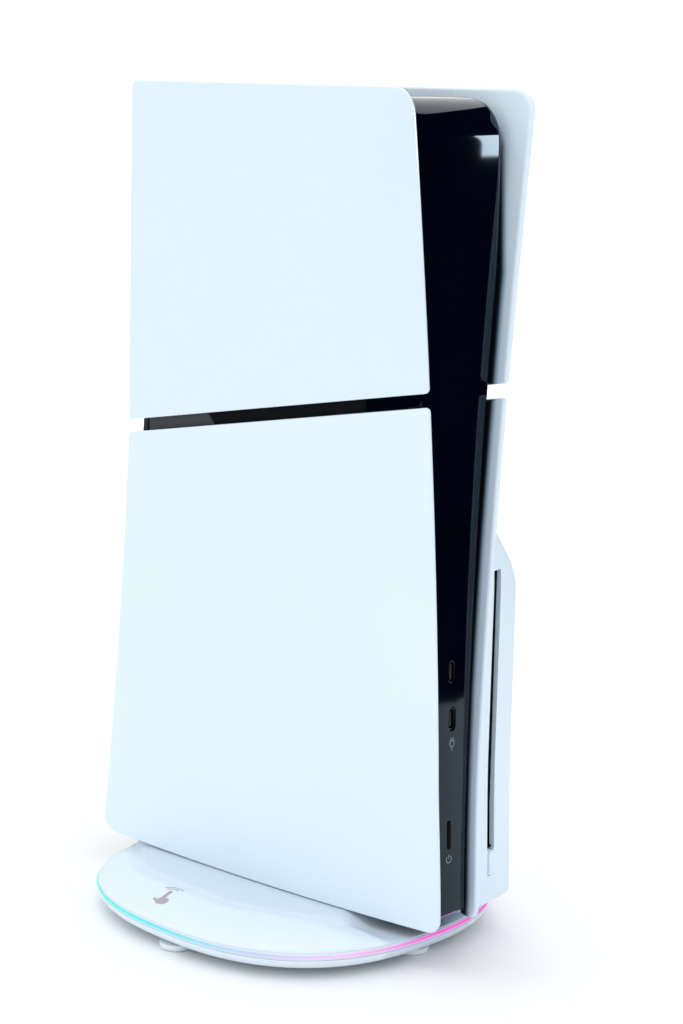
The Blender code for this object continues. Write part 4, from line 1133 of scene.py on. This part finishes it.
def touch_icon():
    """A hand with one finger held out towards the touch area, and two ripples ahead of it."""
    along = Vector((math.cos(TOUCH_HEADING), math.sin(TOUCH_HEADING)))
    aside = Vector((-along.y, along.x))
    for name, steps, widths, across, thick in TOUCH_STROKES:
        path = [tuple((TOUCH_TIP + along * a + aside * b) * MM) for a, b in steps]
        stroke = ribbon("touch_icon_" + name, path, [w * MM for w in widths], across, on_stand, thick * MM)
        piece(stroke, "icon_taupe", "stand")


def stand_feet():
    """Four round pads, a little further out than the design's."""
    for number in range(1, 5):
        node = f"foot_pad_{number}"
        low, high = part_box(node)
        centre = Vector(((low.x + high.x) / 2, (low.y + high.y) / 2, 0)) * FOOT_SHIFT
        radius = (high.x - low.x) / 2 / MM
        profile = [(0, 3.1), (radius, 3.1), (radius, 2.4)]
        profile += arc((radius - 1.6, 1.6), 1.6, 0, -90, 8) + [(0, 0)]
        piece(turned(f"foot_{number}", profile, centre, 48), "pad", "stand", (node,))


# ---------------------------------------------------------------- the CAD nodes that stay

NODE_MATERIALS = {
    "core_matte": ("rear_socket_plate", "rear_grille", "fan_frame", "fan_rotor", "fan_spider", "power_supply",
                   "power_switch", "spindle_hub", "feed_roller", "pickup_sled", "lan_socket", "ac_inlet"),
    "steel": ("processor", "ssd_cover", "wireless_module", "drive_tray", "drive_lid", "spindle_motor",
              "pickup_rail_1", "pickup_rail_2", "rear_usb_a_upper", "rear_usb_a_lower", "hdmi_socket",
              "stand_usb_inlet", *(f"{where}_screw_{k}" for where in ("rear", "stand") for k in range(1, 5))),
    "aluminium": ("heatsink",),
    "copper": ("heat_pipe_1", "heat_pipe_2", "touch_sensor"),
    "circuit_board": ("main_board", "ssd_module", "stand_board", "led_board"),
    "lens": ("pickup_lens",),
}


def finish_nodes():
    for material, nodes in NODE_MATERIALS.items():
        for name in nodes:
            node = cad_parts[name]
            node.data.materials.clear()
            node.data.materials.append(MATERIALS[material])


# ---------------------------------------------------------------- camera, floor and light

def make_camera():
    yaw, pitch, roll_angle = (math.radians(a) for a in (CAMERA_YAW, CAMERA_PITCH, CAMERA_ROLL))
    forward = Vector((math.sin(yaw) * math.cos(pitch), math.cos(yaw) * math.cos(pitch), -math.sin(pitch)))
    level = Vector((math.cos(yaw), -math.sin(yaw), 0))
    above = level.cross(forward)
    right = level * math.cos(roll_angle) + above * math.sin(roll_angle)
    up = above * math.cos(roll_angle) - level * math.sin(roll_angle)
    camera = bpy.data.objects.new("camera", bpy.data.cameras.new("camera"))
    bpy.context.scene.collection.objects.link(camera)
    turn = Matrix((right, up, -forward)).transposed()
    camera.matrix_world = Matrix.Translation(CAMERA_PLACE) @ turn.to_4x4()
    camera.data.lens = CAMERA_LENS
    camera.data.clip_start = 0.01
    bpy.context.scene.camera = camera


def table_material():
    """A matt table top, with painted shade: darker near the object and a shade lighter away from it."""
    material, tree, shader, place = start_material("table_white")
    distance = shader_node(tree, "ShaderNodeVectorMath", operation="LENGTH")
    link(tree, place, distance.inputs[0])
    share = map_range(tree, distance.outputs["Value"], *TABLE_TONE_RUN)
    set_colour(tree, shader, share, ((0.0, TABLE_TONES[0]), (1.0, TABLE_TONES[1])))
    set_grain(tree, shader, noise(tree, place, 400.0), 0.02 * MM)
    shader.inputs["Roughness"].default_value = 0.7
    shader.inputs["Specular IOR Level"].default_value = 0.0
    return material


def circle(radius):
    angles = [2 * math.pi * k / TABLE_STEPS for k in range(TABLE_STEPS)]
    return [(radius * math.cos(angle), radius * math.sin(angle), 0.0) for angle in angles]


def make_floor():
    """A pale table top; only its near part shows in the gloss of the core."""
    material = table_material()
    inner, outer = range(TABLE_STEPS), range(TABLE_STEPS, 2 * TABLE_STEPS)
    near = new_object("table_near", circle(TABLE_NEAR), [tuple(inner)])
    far = new_object("table_far", circle(TABLE_NEAR) + circle(TABLE_FAR), band(inner, outer))
    far.visible_glossy = False
    for obj in (near, far):
        obj.data.materials.append(material)


def area_light(name, place, target, size, power, spin, on_matt, on_gloss):
    data = bpy.data.lights.new(name, "AREA")
    data.shape = "RECTANGLE"
    data.size, data.size_y = size
    data.energy = power
    light = bpy.data.objects.new(name, data)
    bpy.context.scene.collection.objects.link(light)
    turn = (Vector(target) - Vector(place)).to_track_quat("-Z", "Y").to_matrix().to_4x4()
    light.matrix_world = Matrix.Translation(place) @ turn @ Matrix.Rotation(math.radians(spin), 4, "Z")
    light.visible_camera = False
    light.visible_diffuse = on_matt
    light.visible_glossy = on_gloss


def make_world():
    """A white surround, brighter from the upper left than from the front right, with a white horizon."""
    world = bpy.data.worlds.new("studio")
    bpy.context.scene.world = world
    world.use_nodes = True
    tree = world.node_tree
    background = tree.nodes["Background"]
    direction = tree.nodes.new("ShaderNodeTexCoord").outputs["Generated"]
    facing = shader_node(tree, "ShaderNodeVectorMath", operation="DOT_PRODUCT")
    facing.inputs[1].default_value = SKY_BRIGHT_SIDE
    link(tree, direction, facing.inputs[0])
    sky = math_node(tree, "MULTIPLY_ADD", facing.outputs["Value"], SKY_SPREAD, SKY_LEVEL)
    height = math_node(tree, "ABSOLUTE", axes_of(tree, direction)[2])
    horizon = map_range(tree, height, *HORIZON_EDGE, HORIZON_LEVEL, 0.0)
    background.inputs["Color"].default_value = (1.0, 1.0, 1.0, 1.0)
    link(tree, math_node(tree, "MAXIMUM", sky, horizon), background.inputs["Strength"])
    world.cycles_visibility.glossy = False


def make_light():
    for lamp in LAMPS:
        area_light(*lamp)
    settings = bpy.context.scene.view_settings
    settings.view_transform = "Standard"
    settings.look = "None"


# ---------------------------------------------------------------- build

make_camera()
make_floor()
make_world()
make_light()
upper_panel("left_upper_panel", -1)
upper_panel("right_upper_panel", 1)
left_lower_panel()
disc_drive_cover()
disc_slot_seal()
disc_drive_cover_floor()
eject_button()
front_bezel()
housings()
vent_fins()
front_ports()
rear_ports()
power_button()
front_icons()
stand_top_cover()
stand_shells()
touch_icon()
stand_feet()
finish_nodes()
